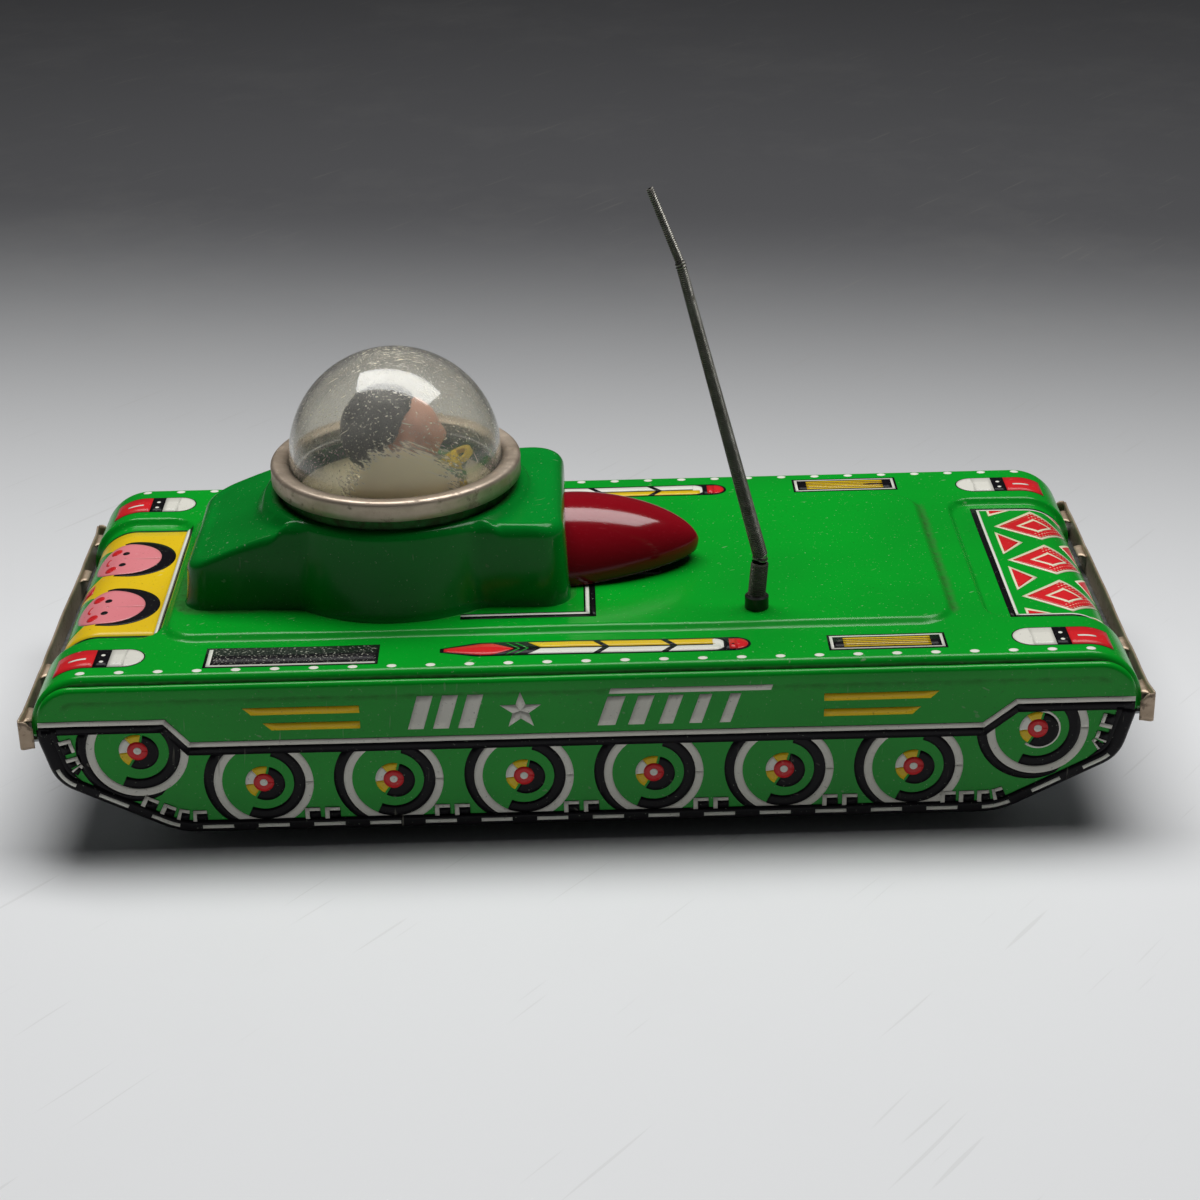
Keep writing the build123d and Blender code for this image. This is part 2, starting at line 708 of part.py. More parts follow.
bracket_top = 17.5
for hand, side in ((1, "left"), (-1, "right")):
    with BuildPart() as bracket:
        with BuildSketch(cross_plane(bracket_y + plate)):
            with BuildLine():
                Polyline(
                    (rear_x - 7, foot_z),
                    (rear_x - 4, bracket_top),
                    (rear_x + 4, bracket_top),
                    (rear_x + 7, foot_z),
                    close=True,
                )
            make_face()
            with Locations((rear_x, axle_z)):
                Circle(axle_r + fit, mode=Mode.SUBTRACT)
        extrude(amount=plate)
        with Locations((rear_x, bracket_y, foot_z)):
            Box(14, 6.4, plate, align=(Align.CENTER, Align.MAX, Align.MIN))
        with Locations((rear_x - 4, bracket_y - 3.6, foot_z), (rear_x + 4, bracket_y - 3.6, foot_z)):
            Cylinder(rivet_r, 4, mode=Mode.SUBTRACT)
    solid = bracket.part if hand > 0 else mirror(bracket.part, about=Plane.XZ)
    save(solid, f"rear_axle_bracket_{side}")

for spots, label in ((motor_rivet_spots, "motor_rivets"), (bracket_rivet_spots, "bracket_rivets")):
    with BuildPart() as rivets:
        with Locations(*[(x, y, floor_z) for x, y in spots]):
            Cylinder(rivet_r, tin + plate, align=(Align.CENTER, Align.CENTER, Align.MIN))
            Cylinder(1.9, 0.7, align=(Align.CENTER, Align.CENTER, Align.MAX))
        with Locations(*[(x, y, foot_z + plate) for x, y in spots]):
            Cylinder(1.7, 0.6, align=(Align.CENTER, Align.CENTER, Align.MIN))
    save(rivets.part, label)

# ---- flint and its arm -------------------------------------------------------

arm_plate = 0.6
flint_r = 1.3
with BuildPart() as flint_arm:
    with BuildSketch(Plane.XY.offset(arm_low)):
        with Locations(((arm_pin_x + fly_x + 2.6) / 2, 0)):
            Rectangle(fly_x + 2.6 - arm_pin_x, 5.4)
    extrude(amount=arm_plate)
    with Locations((fly_x, 0, arm_low)):
        Cylinder(flint_r + 0.8, 1.9, align=(Align.CENTER, Align.CENTER, Align.MIN))
    add(rod(arm_pin_x, arm_pin_z, 1.9, -2.7, 2.7))
    add(rod(arm_pin_x, arm_pin_z, pin_r + fit, -3, 3), mode=Mode.SUBTRACT)
    with Locations((fly_x, 0, arm_low)):
        Cylinder(flint_r, 8, mode=Mode.SUBTRACT)
save(flint_arm.part, "flint_arm")

with BuildPart() as flint:
    with Locations((fly_x, 0, fly_z + spark_r + 0.35)):
        Cylinder(flint_r, 3.2, align=(Align.CENTER, Align.CENTER, Align.MIN))
save(flint.part, "flint")

with BuildPart() as arm_pin:
    add(rod(arm_pin_x, arm_pin_z, pin_r, -plate_out - 0.5, plate_out + 0.5))
save(arm_pin.part, "arm_pin")

with BuildPart() as flint_spring:
    add(rod(arm_pin_x, arm_pin_z, 1.7, 3.2, 6.4))
    add(rod(arm_pin_x, arm_pin_z, pin_r, 3.0, 7.0), mode=Mode.SUBTRACT)
save(flint_spring.part, "flint_spring")
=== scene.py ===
import bpy
import bmesh
import math
import numpy as np
from mathutils import Matrix, Vector


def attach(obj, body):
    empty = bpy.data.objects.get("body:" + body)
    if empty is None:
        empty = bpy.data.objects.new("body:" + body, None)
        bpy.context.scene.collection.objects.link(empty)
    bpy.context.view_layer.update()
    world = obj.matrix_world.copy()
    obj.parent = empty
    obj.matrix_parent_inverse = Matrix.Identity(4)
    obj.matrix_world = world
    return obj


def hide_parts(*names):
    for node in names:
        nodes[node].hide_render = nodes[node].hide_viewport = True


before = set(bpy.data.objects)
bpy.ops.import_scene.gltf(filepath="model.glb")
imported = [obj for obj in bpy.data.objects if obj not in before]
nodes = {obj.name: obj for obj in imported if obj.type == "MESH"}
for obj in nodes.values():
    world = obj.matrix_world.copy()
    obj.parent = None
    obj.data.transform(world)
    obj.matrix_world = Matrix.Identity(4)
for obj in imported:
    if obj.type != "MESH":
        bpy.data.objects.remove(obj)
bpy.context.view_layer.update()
mm = 0.001
pi = math.pi
print("frame loaded:", len(nodes), "nodes")


# ---- small tools ----

def smooth(low, high, x):
    t = np.clip((x - low) / (high - low), 0.0, 1.0)
    return t * t * (3.0 - 2.0 * t)


def softMax(a, b, width):
    # larger of the two, rounded over where they cross
    h = np.clip(0.5 + 0.5 * (a - b) / width, 0.0, 1.0)
    return b + (a - b) * h + width * h * (1.0 - h)


def roundBox(x, y, centre, half, radius):
    # distance to a rectangle with round corners, negative inside
    qx = np.abs(x - centre[0]) - half[0] + radius
    qy = np.abs(y - centre[1]) - half[1] + radius
    outside = np.hypot(np.maximum(qx, 0), np.maximum(qy, 0))
    return outside + np.minimum(np.maximum(qx, qy), 0) - radius


def ripple(a, b, size, seed):
    # slow waves of about the given size in mm, between -1 and 1
    total = 0.0
    for k in range(4):
        turn = seed * 1.7 + k * 2.4
        step = 2 * pi / size * (0.7 + 0.45 * k)
        total = total + np.sin(step * (a * math.cos(turn) + b * math.sin(turn)) + seed * 3.1 + k) / (1 + k)
    return total / 2.08


def gridFaces(rows, columns, loopRows=False, loopColumns=False, start=0):
    r = np.arange(rows if loopRows else rows - 1)
    c = np.arange(columns if loopColumns else columns - 1)
    rr, cc = np.meshgrid(r, c, indexing="ij")
    nextR = (rr + 1) % rows
    nextC = (cc + 1) % columns
    quads = np.stack([rr * columns + cc, nextR * columns + cc, nextR * columns + nextC,
                      rr * columns + nextC], axis=-1)
    return quads.reshape(-1, 4) + start


def makePiece(name, points, faces, material, body, weld=True, attributes=None, shell=0.0, angle=40):
    # points in mm; shell is a sheet thickness in mm laid on the inner side
    mesh = bpy.data.meshes.new(name)
    mesh.from_pydata((np.asarray(points).reshape(-1, 3) * mm).tolist(), [], np.asarray(faces).tolist())
    for key, values in (attributes or {}).items():
        layer = mesh.attributes.new(key, "FLOAT", "POINT")
        layer.data.foreach_set("value", np.asarray(values, dtype=np.float32).reshape(-1))
    work = bmesh.new()
    work.from_mesh(mesh)
    if weld:
        bmesh.ops.remove_doubles(work, verts=work.verts, dist=2e-6)
        bmesh.ops.dissolve_degenerate(work, edges=work.edges, dist=1e-6)
    work.to_mesh(mesh)
    work.free()
    mesh.shade_smooth()
    mesh.set_sharp_from_angle(angle=math.radians(angle))
    piece = bpy.data.objects.new(name, mesh)
    bpy.context.scene.collection.objects.link(piece)
    mesh.materials.append(material)
    if shell > 0:
        sheet = piece.modifiers.new("sheet", "SOLIDIFY")
        sheet.thickness = shell * mm
        sheet.offset = -1
        sheet.use_even_offset = False
    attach(piece, body)
    return piece


def lathe(profile, centre, segments=96, wobble=0.0, seed=1.0):
    # a profile of (radius, height) turned about a vertical line; wobble in mm
    profile = np.asarray(profile, dtype=float)
    turn = np.linspace(0, 2 * pi, segments, endpoint=False)
    radius = profile[:, :1] + wobble * np.sin(3 * turn + seed)[None, :] * (profile[:, :1] > 1)
    x = centre[0] + radius * np.cos(turn)
    y = centre[1] + radius * np.sin(turn)
    z = np.repeat(profile[:, 1:], segments, axis=1)
    points = np.stack([x, y, z], axis=-1)
    return points, gridFaces(len(profile), segments, loopColumns=True)


def srgb(code):
    # hex colour to linear light
    parts = [int(code[k:k + 2], 16) / 255 for k in (0, 2, 4)]
    return [c / 12.92 if c <= 0.04045 else ((c + 0.055) / 1.055) ** 2.4 for c in parts] + [1.0]


def addNode(tree, kind, inputs=None, out=0, **settings):
    # gives back the output asked for, or the node itself when out is None
    node = tree.nodes.new(kind)
    for key, value in settings.items():
        setattr(node, key, value)
    for key, value in (inputs or {}).items():
        if isinstance(value, bpy.types.NodeSocket):
            tree.links.new(value, node.inputs[key])
        else:
            node.inputs[key].default_value = value
    return node if out is None else node.outputs[out]


# ---- materials ----

def startMaterial(name):
    material = bpy.data.materials.new(name)
    material.use_nodes = True
    tree = material.node_tree
    place = addNode(tree, "ShaderNodeTexCoord", out="Object")
    return material, tree, tree.nodes["Principled BSDF"], place


def hairlines(tree, place, lays, low, high, most=1.0):
    # scratches: noise turned and pulled long, one set for each rotation and size in metres
    lines = 0.0
    for turned, size in lays:
        laid = addNode(tree, "ShaderNodeMapping", {"Vector": place, "Rotation": turned, "Scale": size},
                       vector_type="TEXTURE")
        streak = addNode(tree, "ShaderNodeTexNoise", {"Vector": laid, "Scale": 1.0, "Detail": 1.0})
        mask = addNode(tree, "ShaderNodeMapRange",
                       {"Value": streak, "From Min": low, "From Max": high, "To Max": most})
        lines = addNode(tree, "ShaderNodeMath", {0: lines, 1: mask}, operation="MAXIMUM")
    return lines


def litho(name, colour, shade, wornTo="a9a79c", gloss=0.25, specks=0.5, scuffs=0.5, coat=0.12, shine=0.22,
          speckTone="15170f", speckFrom=0.66):
    # lithographed tinplate: ink under varnish, rubbed at the folds, with fine dark specks
    # and hairline scuffs; broad tone drift keeps large areas from looking flat
    material, tree, bsdf, place = startMaterial(name)
    drift = addNode(tree, "ShaderNodeTexNoise", {"Vector": place, "Scale": 24.0, "Detail": 3.0})
    driftFac = addNode(tree, "ShaderNodeMapRange", {"Value": drift, "From Min": 0.35, "From Max": 0.7})
    base = addNode(tree, "ShaderNodeMix", {0: driftFac, 6: srgb(colour), 7: srgb(shade)},
                   data_type="RGBA", out=2)
    fine = addNode(tree, "ShaderNodeTexNoise",
                   {"Vector": place, "Scale": 1900.0, "Detail": 2.0, "Roughness": 0.6})
    speckFac = addNode(tree, "ShaderNodeMapRange",
                       {"Value": fine, "From Min": speckFrom, "From Max": speckFrom + 0.08,
                        "To Max": specks})
    dust = addNode(tree, "ShaderNodeMapRange",
                   {"Value": fine, "From Min": 0.30, "From Max": 0.25, "To Max": 0.4})
    # scuffs run in two directions, in patches
    lays = [((0.2, 0.35, 0.5), (0.025, 0.0011, 0.0011)), ((0.84, 1.47, 2.1), (0.014, 0.0008, 0.0008))]
    hairs = hairlines(tree, place, lays, 0.73, 0.80)
    patch = addNode(tree, "ShaderNodeTexNoise", {"Vector": place, "Scale": 60.0, "Detail": 2.0})
    patchFac = addNode(tree, "ShaderNodeMapRange", {"Value": patch, "From Min": 0.45, "From Max": 0.6})
    hairFac = addNode(tree, "ShaderNodeMath", {0: hairs, 1: patchFac}, operation="MULTIPLY")
    hairTone = addNode(tree, "ShaderNodeMath", {0: hairFac, 1: scuffs}, operation="MULTIPLY")
    # rubbed folds
    wear = addNode(tree, "ShaderNodeAttribute", attribute_name="wear", out="Fac")
    chips = addNode(tree, "ShaderNodeTexNoise",
                    {"Vector": place, "Scale": 420.0, "Detail": 4.0, "Roughness": 0.7})
    lost = addNode(tree, "ShaderNodeMath", {0: wear, 1: chips}, operation="MULTIPLY")
    lostFac = addNode(tree, "ShaderNodeMapRange",
                      {"Value": lost, "From Min": 0.5, "From Max": 0.6, "To Max": 0.75})
    # painted shade, patchy, with some dirt: a dark brown laid where the attribute marks seams, recesses and
    # the feet of parts
    shadeAndGrime = addNode(tree, "ShaderNodeAttribute", attribute_name="shadeAndGrime", out="Fac")
    shadeAndGrimeSum = addNode(tree, "ShaderNodeMath", {0: shadeAndGrime, 1: chips}, operation="MULTIPLY")
    shadeAndGrimeFac = addNode(tree, "ShaderNodeMapRange",
                       {"Value": shadeAndGrimeSum, "From Min": 0.12, "From Max": 0.6, "To Max": 0.85})
    # the last layer, dark brown, is the painted shade and dirt
    layers = [(speckFac, speckTone), (dust, "b9c4ae"), (hairTone, wornTo), (lostFac, wornTo),
              (shadeAndGrimeFac, "2a2115")]
    for mask, tone in layers:
        base = addNode(tree, "ShaderNodeMix", {0: mask, 6: base, 7: srgb(tone)}, data_type="RGBA", out=2)
    tree.links.new(base, bsdf.inputs["Base Color"])
    rough = addNode(tree, "ShaderNodeMapRange",
                    {"Value": drift, "From Min": 0.3, "From Max": 0.7, "To Min": gloss,
                     "To Max": gloss + 0.10})
    rough = addNode(tree, "ShaderNodeMath", {0: rough, 1: hairTone}, operation="ADD")
    rough = addNode(tree, "ShaderNodeMath", {0: rough, 1: shadeAndGrimeFac}, operation="ADD", use_clamp=True)
    tree.links.new(rough, bsdf.inputs["Roughness"])
    height = addNode(tree, "ShaderNodeTexNoise", {"Vector": place, "Scale": 160.0, "Detail": 5.0})
    height = addNode(tree, "ShaderNodeMath", {0: height, 1: lostFac}, operation="SUBTRACT")
    bump = addNode(tree, "ShaderNodeBump", {"Strength": 0.10, "Distance": 0.0006, "Height": height})
    tree.links.new(bump, bsdf.inputs["Normal"])
    bsdf.inputs["Specular IOR Level"].default_value = shine
    bsdf.inputs["Coat Weight"].default_value = coat
    bsdf.inputs["Coat Roughness"].default_value = 0.12
    return material


def bareMetal(name, colour, dull, rough=0.34, stainAmount=0.5, shine=1.0):
    # plated or bare sheet and wire: drawn grain, cloudy oxide and brown spots in the hollows
    material, tree, bsdf, place = startMaterial(name)
    cloud = addNode(tree, "ShaderNodeTexNoise",
                    {"Vector": place, "Scale": 70.0, "Detail": 6.0, "Roughness": 0.65})
    cloudFac = addNode(tree, "ShaderNodeMapRange", {"Value": cloud, "From Min": 0.35, "From Max": 0.68})
    base = addNode(tree, "ShaderNodeMix", {0: cloudFac, 6: srgb(colour), 7: srgb(dull)},
                   data_type="RGBA", out=2)
    spots = addNode(tree, "ShaderNodeTexNoise",
                    {"Vector": place, "Scale": 330.0, "Detail": 5.0, "Roughness": 0.75})
    spotFac = addNode(tree, "ShaderNodeMapRange",
                      {"Value": spots, "From Min": 0.56, "From Max": 0.70, "To Max": stainAmount})
    base = addNode(tree, "ShaderNodeMix", {0: spotFac, 6: base, 7: srgb("3a2a18")}, data_type="RGBA",
                   out=2)
    # painted shade: near-black brown laid where the attribute marks undersides and recesses
    shadeAndGrime = addNode(tree, "ShaderNodeAttribute", attribute_name="shadeAndGrime", out="Fac")
    shadeAndGrimeFac = addNode(tree, "ShaderNodeMath", {0: shadeAndGrime, 1: 0.75}, operation="MULTIPLY")
    base = addNode(tree, "ShaderNodeMix", {0: shadeAndGrimeFac, 6: base, 7: srgb("1c1610")}, data_type="RGBA",
                   out=2)
    tree.links.new(base, bsdf.inputs["Base Color"])
    metal = addNode(tree, "ShaderNodeMapRange",
                    {"Value": spotFac, "From Max": 0.6, "To Min": shine, "To Max": 0.35 * shine})
    tree.links.new(metal, bsdf.inputs["Metallic"])
    laid = addNode(tree, "ShaderNodeMapping", {"Vector": place, "Scale": (60.0, 900.0, 900.0)})
    drawn = addNode(tree, "ShaderNodeTexNoise", {"Vector": laid, "Scale": 1.0, "Detail": 3.0})
    roughness = addNode(tree, "ShaderNodeMapRange",
                        {"Value": drawn, "From Min": 0.3, "From Max": 0.7, "To Min": rough,
                         "To Max": rough + 0.12})
    roughness = addNode(tree, "ShaderNodeMath", {0: roughness, 1: spotFac}, operation="ADD",
                        use_clamp=True)
    tree.links.new(roughness, bsdf.inputs["Roughness"])
    height = addNode(tree, "ShaderNodeMath", {0: drawn, 1: spotFac}, operation="SUBTRACT")
    bump = addNode(tree, "ShaderNodeBump", {"Strength": 0.18, "Distance": 0.0004, "Height": height})
    tree.links.new(bump, bsdf.inputs["Normal"])
    return material


def moulded(name, colour, shade, rough=0.35, scale=180.0, bumpStrength=0.1, dustAmount=0.25):
    # moulded or painted solid pieces: flow marks, a fine grain and pale dust that settles in patches
    material, tree, bsdf, place = startMaterial(name)
    flow = addNode(tree, "ShaderNodeTexNoise",
                   {"Vector": place, "Scale": scale, "Detail": 4.0, "Distortion": 0.6})
    flowFac = addNode(tree, "ShaderNodeMapRange", {"Value": flow, "From Min": 0.35, "From Max": 0.68})
    base = addNode(tree, "ShaderNodeMix", {0: flowFac, 6: srgb(colour), 7: srgb(shade)},
                   data_type="RGBA", out=2)
    settle = addNode(tree, "ShaderNodeTexNoise",
                     {"Vector": place, "Scale": scale * 2.6, "Detail": 6.0, "Roughness": 0.7})
    settleFac = addNode(tree, "ShaderNodeMapRange",
                        {"Value": settle, "From Min": 0.50, "From Max": 0.75, "To Max": dustAmount})
    wear = addNode(tree, "ShaderNodeAttribute", attribute_name="wear", out="Fac")
    wearFac = addNode(tree, "ShaderNodeMath", {0: wear, 1: settle}, operation="MULTIPLY")
    settleFac = addNode(tree, "ShaderNodeMath", {0: settleFac, 1: wearFac}, operation="MAXIMUM")
    base = addNode(tree, "ShaderNodeMix", {0: settleFac, 6: base, 7: srgb("8f8878")}, data_type="RGBA",
                   out=2)
    tree.links.new(base, bsdf.inputs["Base Color"])
    roughness = addNode(tree, "ShaderNodeMapRange",
                        {"Value": flow, "From Min": 0.3, "From Max": 0.7, "To Min": rough,
                         "To Max": rough + 0.14})
    roughness = addNode(tree, "ShaderNodeMath", {0: roughness, 1: settleFac}, operation="ADD",
                        use_clamp=True)
    tree.links.new(roughness, bsdf.inputs["Roughness"])
    bump = addNode(tree, "ShaderNodeBump",
                   {"Strength": bumpStrength, "Distance": 0.0004, "Height": settle})
    tree.links.new(bump, bsdf.inputs["Normal"])
    return material


def clearMoulding(name, colour, haze, rough=0.03, hazeRough=0.35, transmission=0.95, density=0.35,
                  scratchTone=0.6):
    # see-through styrene: rubbed haze, crossing hairline scratches, a yellowed tint
    material, tree, bsdf, place = startMaterial(name)
    rubbed = addNode(tree, "ShaderNodeAttribute", attribute_name="haze", out="Fac")
    cloud = addNode(tree, "ShaderNodeTexNoise",
                    {"Vector": place, "Scale": 260.0, "Detail": 6.0, "Roughness": 0.75})
    cloudFac = addNode(tree, "ShaderNodeMapRange",
                       {"Value": cloud, "From Min": 0.35, "From Max": 0.72, "To Min": density * 0.4,
                        "To Max": density})
    brushed = addNode(tree, "ShaderNodeMapping",
                      {"Vector": place, "Rotation": (0.1, 0.5, 0.2), "Scale": (0.006, 0.0006, 0.0006)},
                      vector_type="TEXTURE")
    frayed = addNode(tree, "ShaderNodeTexNoise", {"Vector": brushed, "Scale": 1.0, "Detail": 3.0})
    patch = addNode(tree, "ShaderNodeMath", {0: rubbed, 1: frayed}, operation="ADD")
    patch = addNode(tree, "ShaderNodeMapRange", {"Value": patch, "From Min": 0.84, "From Max": 1.12})
    cloudFac = addNode(tree, "ShaderNodeMath", {0: cloudFac, 1: patch}, operation="MAXIMUM")
    lays = [((0.2, 0.35, 0.1), (0.012, 0.0005, 0.0005)), ((0.2, 1.2, 0.25), (0.008, 0.0004, 0.0004)),
            ((0.2, 2.5, -0.1), (0.010, 0.0005, 0.0005))]
    scratches = hairlines(tree, place, lays, 0.70, 0.75, scratchTone)
    veil = addNode(tree, "ShaderNodeMath", {0: cloudFac, 1: scratches}, operation="MAXIMUM")
    base = addNode(tree, "ShaderNodeMix", {0: veil, 6: srgb(colour), 7: srgb(haze)}, data_type="RGBA",
                   out=2)
    tree.links.new(base, bsdf.inputs["Base Color"])
    roughness = addNode(tree, "ShaderNodeMapRange", {"Value": veil, "To Min": rough, "To Max": hazeRough})
    tree.links.new(roughness, bsdf.inputs["Roughness"])
    clear = addNode(tree, "ShaderNodeMapRange",
                    {"Value": veil, "To Min": transmission, "To Max": transmission * 0.12})
    tree.links.new(clear, bsdf.inputs["Transmission Weight"])
    bump = addNode(tree, "ShaderNodeBump", {"Strength": 0.08, "Distance": 0.0003, "Height": scratches})
    tree.links.new(bump, bsdf.inputs["Normal"])
    bsdf.inputs["IOR"].default_value = 1.46
    # the rubbed patch glows with the light that comes from behind it
    glow = addNode(tree, "ShaderNodeBsdfTranslucent", {"Color": srgb(haze)})
    glowFac = addNode(tree, "ShaderNodeMath", {0: patch, 1: 0.3}, operation="MULTIPLY")
    both = addNode(tree, "ShaderNodeMixShader", {0: glowFac, 1: bsdf.outputs[0], 2: glow})
    tree.links.new(both, tree.nodes["Material Output"].inputs["Surface"])
    return material


# printed tin: clean saturated ink under a thin varnish, broken by specks, hairlines and bare folds
greenTin = litho("litho_green_tin", "059a24", "058c22", gloss=0.17, specks=0.35, scuffs=0.35, coat=0.08,
                 shine=0.2)
turretTin = litho("litho_green_tin_turret", "048028", "036c20", gloss=0.15, specks=0.35, scuffs=0.35,
                  coat=0.06, shine=0.14)
dottedInk = litho("litho_dotted_black_ink", "141216", "1c1a1d", wornTo="8a877c", specks=0.85,
                  speckTone="b4b4a6", speckFrom=0.59, coat=0.0, shine=0.08)
blackInk = litho("litho_black_ink", "0f0d11", "161417", wornTo="8a877c", specks=0.0, scuffs=0.5,
                 coat=0.02, shine=0.1)
greyInk = litho("litho_warm_white_ink", "dcdad0", "cbc9be", wornTo="55543f", specks=0.5, scuffs=0.4)
yellowInk = litho("litho_yellow_ink", "e6c41c", "d6b018", wornTo="c8bd84", specks=0.5)
redInk = litho("litho_red_ink", "d8242a", "c01c22", wornTo="d8a8a0", specks=0.4)
pinkInk = litho("litho_pink_ink", "e08a8f", "d4777e", wornTo="f0d8d0", specks=0.4)
creamInk = litho("litho_cream_ink", "e9e2c8", "dcd2b0", wornTo="8a8468", specks=0.4)
brownInk = litho("litho_brown_ink", "6a4a10", "58400e", wornTo="b0a060", specks=0.3)
paleInk = litho("litho_white_ink", "e6e6dc", "d4d4c8", wornTo="77766a", specks=0.5)
# thin sheet and plating gone dull: warm grey with brown spots that kill the shine
tarnishedTin = bareMetal("tarnished_tinplate", "bba792", "95826c", rough=0.42, stainAmount=0.75,
                         shine=0.6)
nickelBand = bareMetal("nickel_plated_band", "c2b2a0", "9c8c7a", rough=0.36, stainAmount=0.45, shine=0.6)
# styrene: a sharp highlight over a yellowed, rubbed and scratched see-through wall
domePlastic = clearMoulding("clear_styrene", "fdfcf6", "fff4d2", hazeRough=0.5, density=0.10,
                            scratchTone=0.7)
nosePlastic = clearMoulding("red_styrene", "8e0716", "a83040", rough=0.10, hazeRough=0.35,
                            transmission=0.18, density=0.07, scratchTone=0.22)
# the coiled wire catches one thin bright line along its length; the collar is plain glossy black
springSteel = bareMetal("oiled_spring_steel", "a19f98", "65625a", rough=0.32, stainAmount=0.6, shine=0.9)
blackPlastic = moulded("black_styrene", "121212", "1c1b1a", rough=0.3)
# motor parts: bright pins, dull lead, warm brass and greyed zinc
steelRod = bareMetal("bright_steel_rod", "a8a8a6", "82817c", rough=0.25, stainAmount=0.4)
castLead = bareMetal("cast_lead", "6f7072", "56575a", rough=0.5, stainAmount=0.3)
brassGear = bareMetal("stamped_brass", "c09a48", "8f6e2e", rough=0.3, stainAmount=0.4)
zincTin = bareMetal("zinc_coated_tin", "9a9c9c", "7c7e80", rough=0.4, stainAmount=0.5)
# soft and rough parts: almost no shine, pale dust in the grain
grit = moulded("bonded_grit", "2a2724", "3a3633", rough=0.8, scale=900.0, bumpStrength=0.6)
rubber = moulded("moulded_rubber", "161616", "1f1e1d", rough=0.75, scale=300.0, dustAmount=0.4)
flintStone = moulded("flint_rod", "24262a", "34363a", rough=0.45, scale=600.0, bumpStrength=0.3)
# brushed paint and a bright moulding, seen only through the scuffed dome
tunicPaint = moulded("painted_tunic", "2e7d3a", "256a30", rough=0.5)
skinPaint = moulded("painted_skin", "efb39d", "e2a189", rough=0.45)
hairPaint = moulded("painted_hair", "0b0c12", "16171e", rough=0.42, dustAmount=0.1)
cabPaint = moulded("painted_cab_floor", "e2d9ba", "cdc3a0", rough=0.6, scale=120.0, dustAmount=0.35)
yellowPlastic = moulded("yellow_styrene", "fade2c", "f0cf20", rough=0.3)
print("materials made")

# ---- deck and hull ----

hull = {"deck": 39.5, "half": 49.0, "straight": 101.5, "roll": 11.5, "corner": 1.4, "skirt": 9.5,
        "foot": 1.5, "rise": 1.2, "sink": 1.5, "thickness": 0.4, "openFrom": -1.0, "openTo": 16.5,
        "openHalf": 7.0}


def deckMiddle(s, y):
    # distance to the edge of the raised middle
    return roundBox(s, y, (-5.5, 0), (82.0, 33.3), 7.0)


def deckRelief(s, y):
    # raised middle and two sunk end panels, each a rounded rectangle with a soft stamped edge
    rear = roundBox(s, y, (-139.5, 0), (50.5, 31.2), 6.0)
    front = roundBox(s, y, (134.5, 0), (50.5, 31.2), 6.0)
    sunk = np.maximum(smooth(0.8, -0.9, rear), smooth(0.8, -0.9, front))
    calm = smooth(47.0, 42.0, np.abs(y))
    sag = 0.16 * ripple(s, y, 62, 2.0) + 0.05 * ripple(s, y, 17, 5.0)
    return hull["rise"] * smooth(1.1, -1.1, deckMiddle(s, y)) - hull["sink"] * sunk + sag * calm


def deckPoint(s, y, lift=0.0, drop=0.0):
    # s runs along the deck from the middle of the toy and on down over the rolled ends
    s, y = np.broadcast_arrays(np.asarray(s, float), np.asarray(y, float))
    side = np.sign(s)
    past = np.maximum(np.abs(s) - hull["straight"], 0)
    turn = np.minimum(past / hull["roll"], pi / 2)
    below = np.maximum(past - hull["roll"] * pi / 2, 0)
    up = (deckRelief(s, y) if np.ndim(drop) == 0 else np.where(drop > 0, 0,
                                                               deckRelief(s, y))) + lift - drop
    x = side * (np.minimum(np.abs(s), hull["straight"]) + (hull["roll"] + up) * np.sin(turn))
    z = hull["deck"] - hull["roll"] + (hull["roll"] + up) * np.cos(turn) - below
    return np.stack([x, y, z], axis=-1)


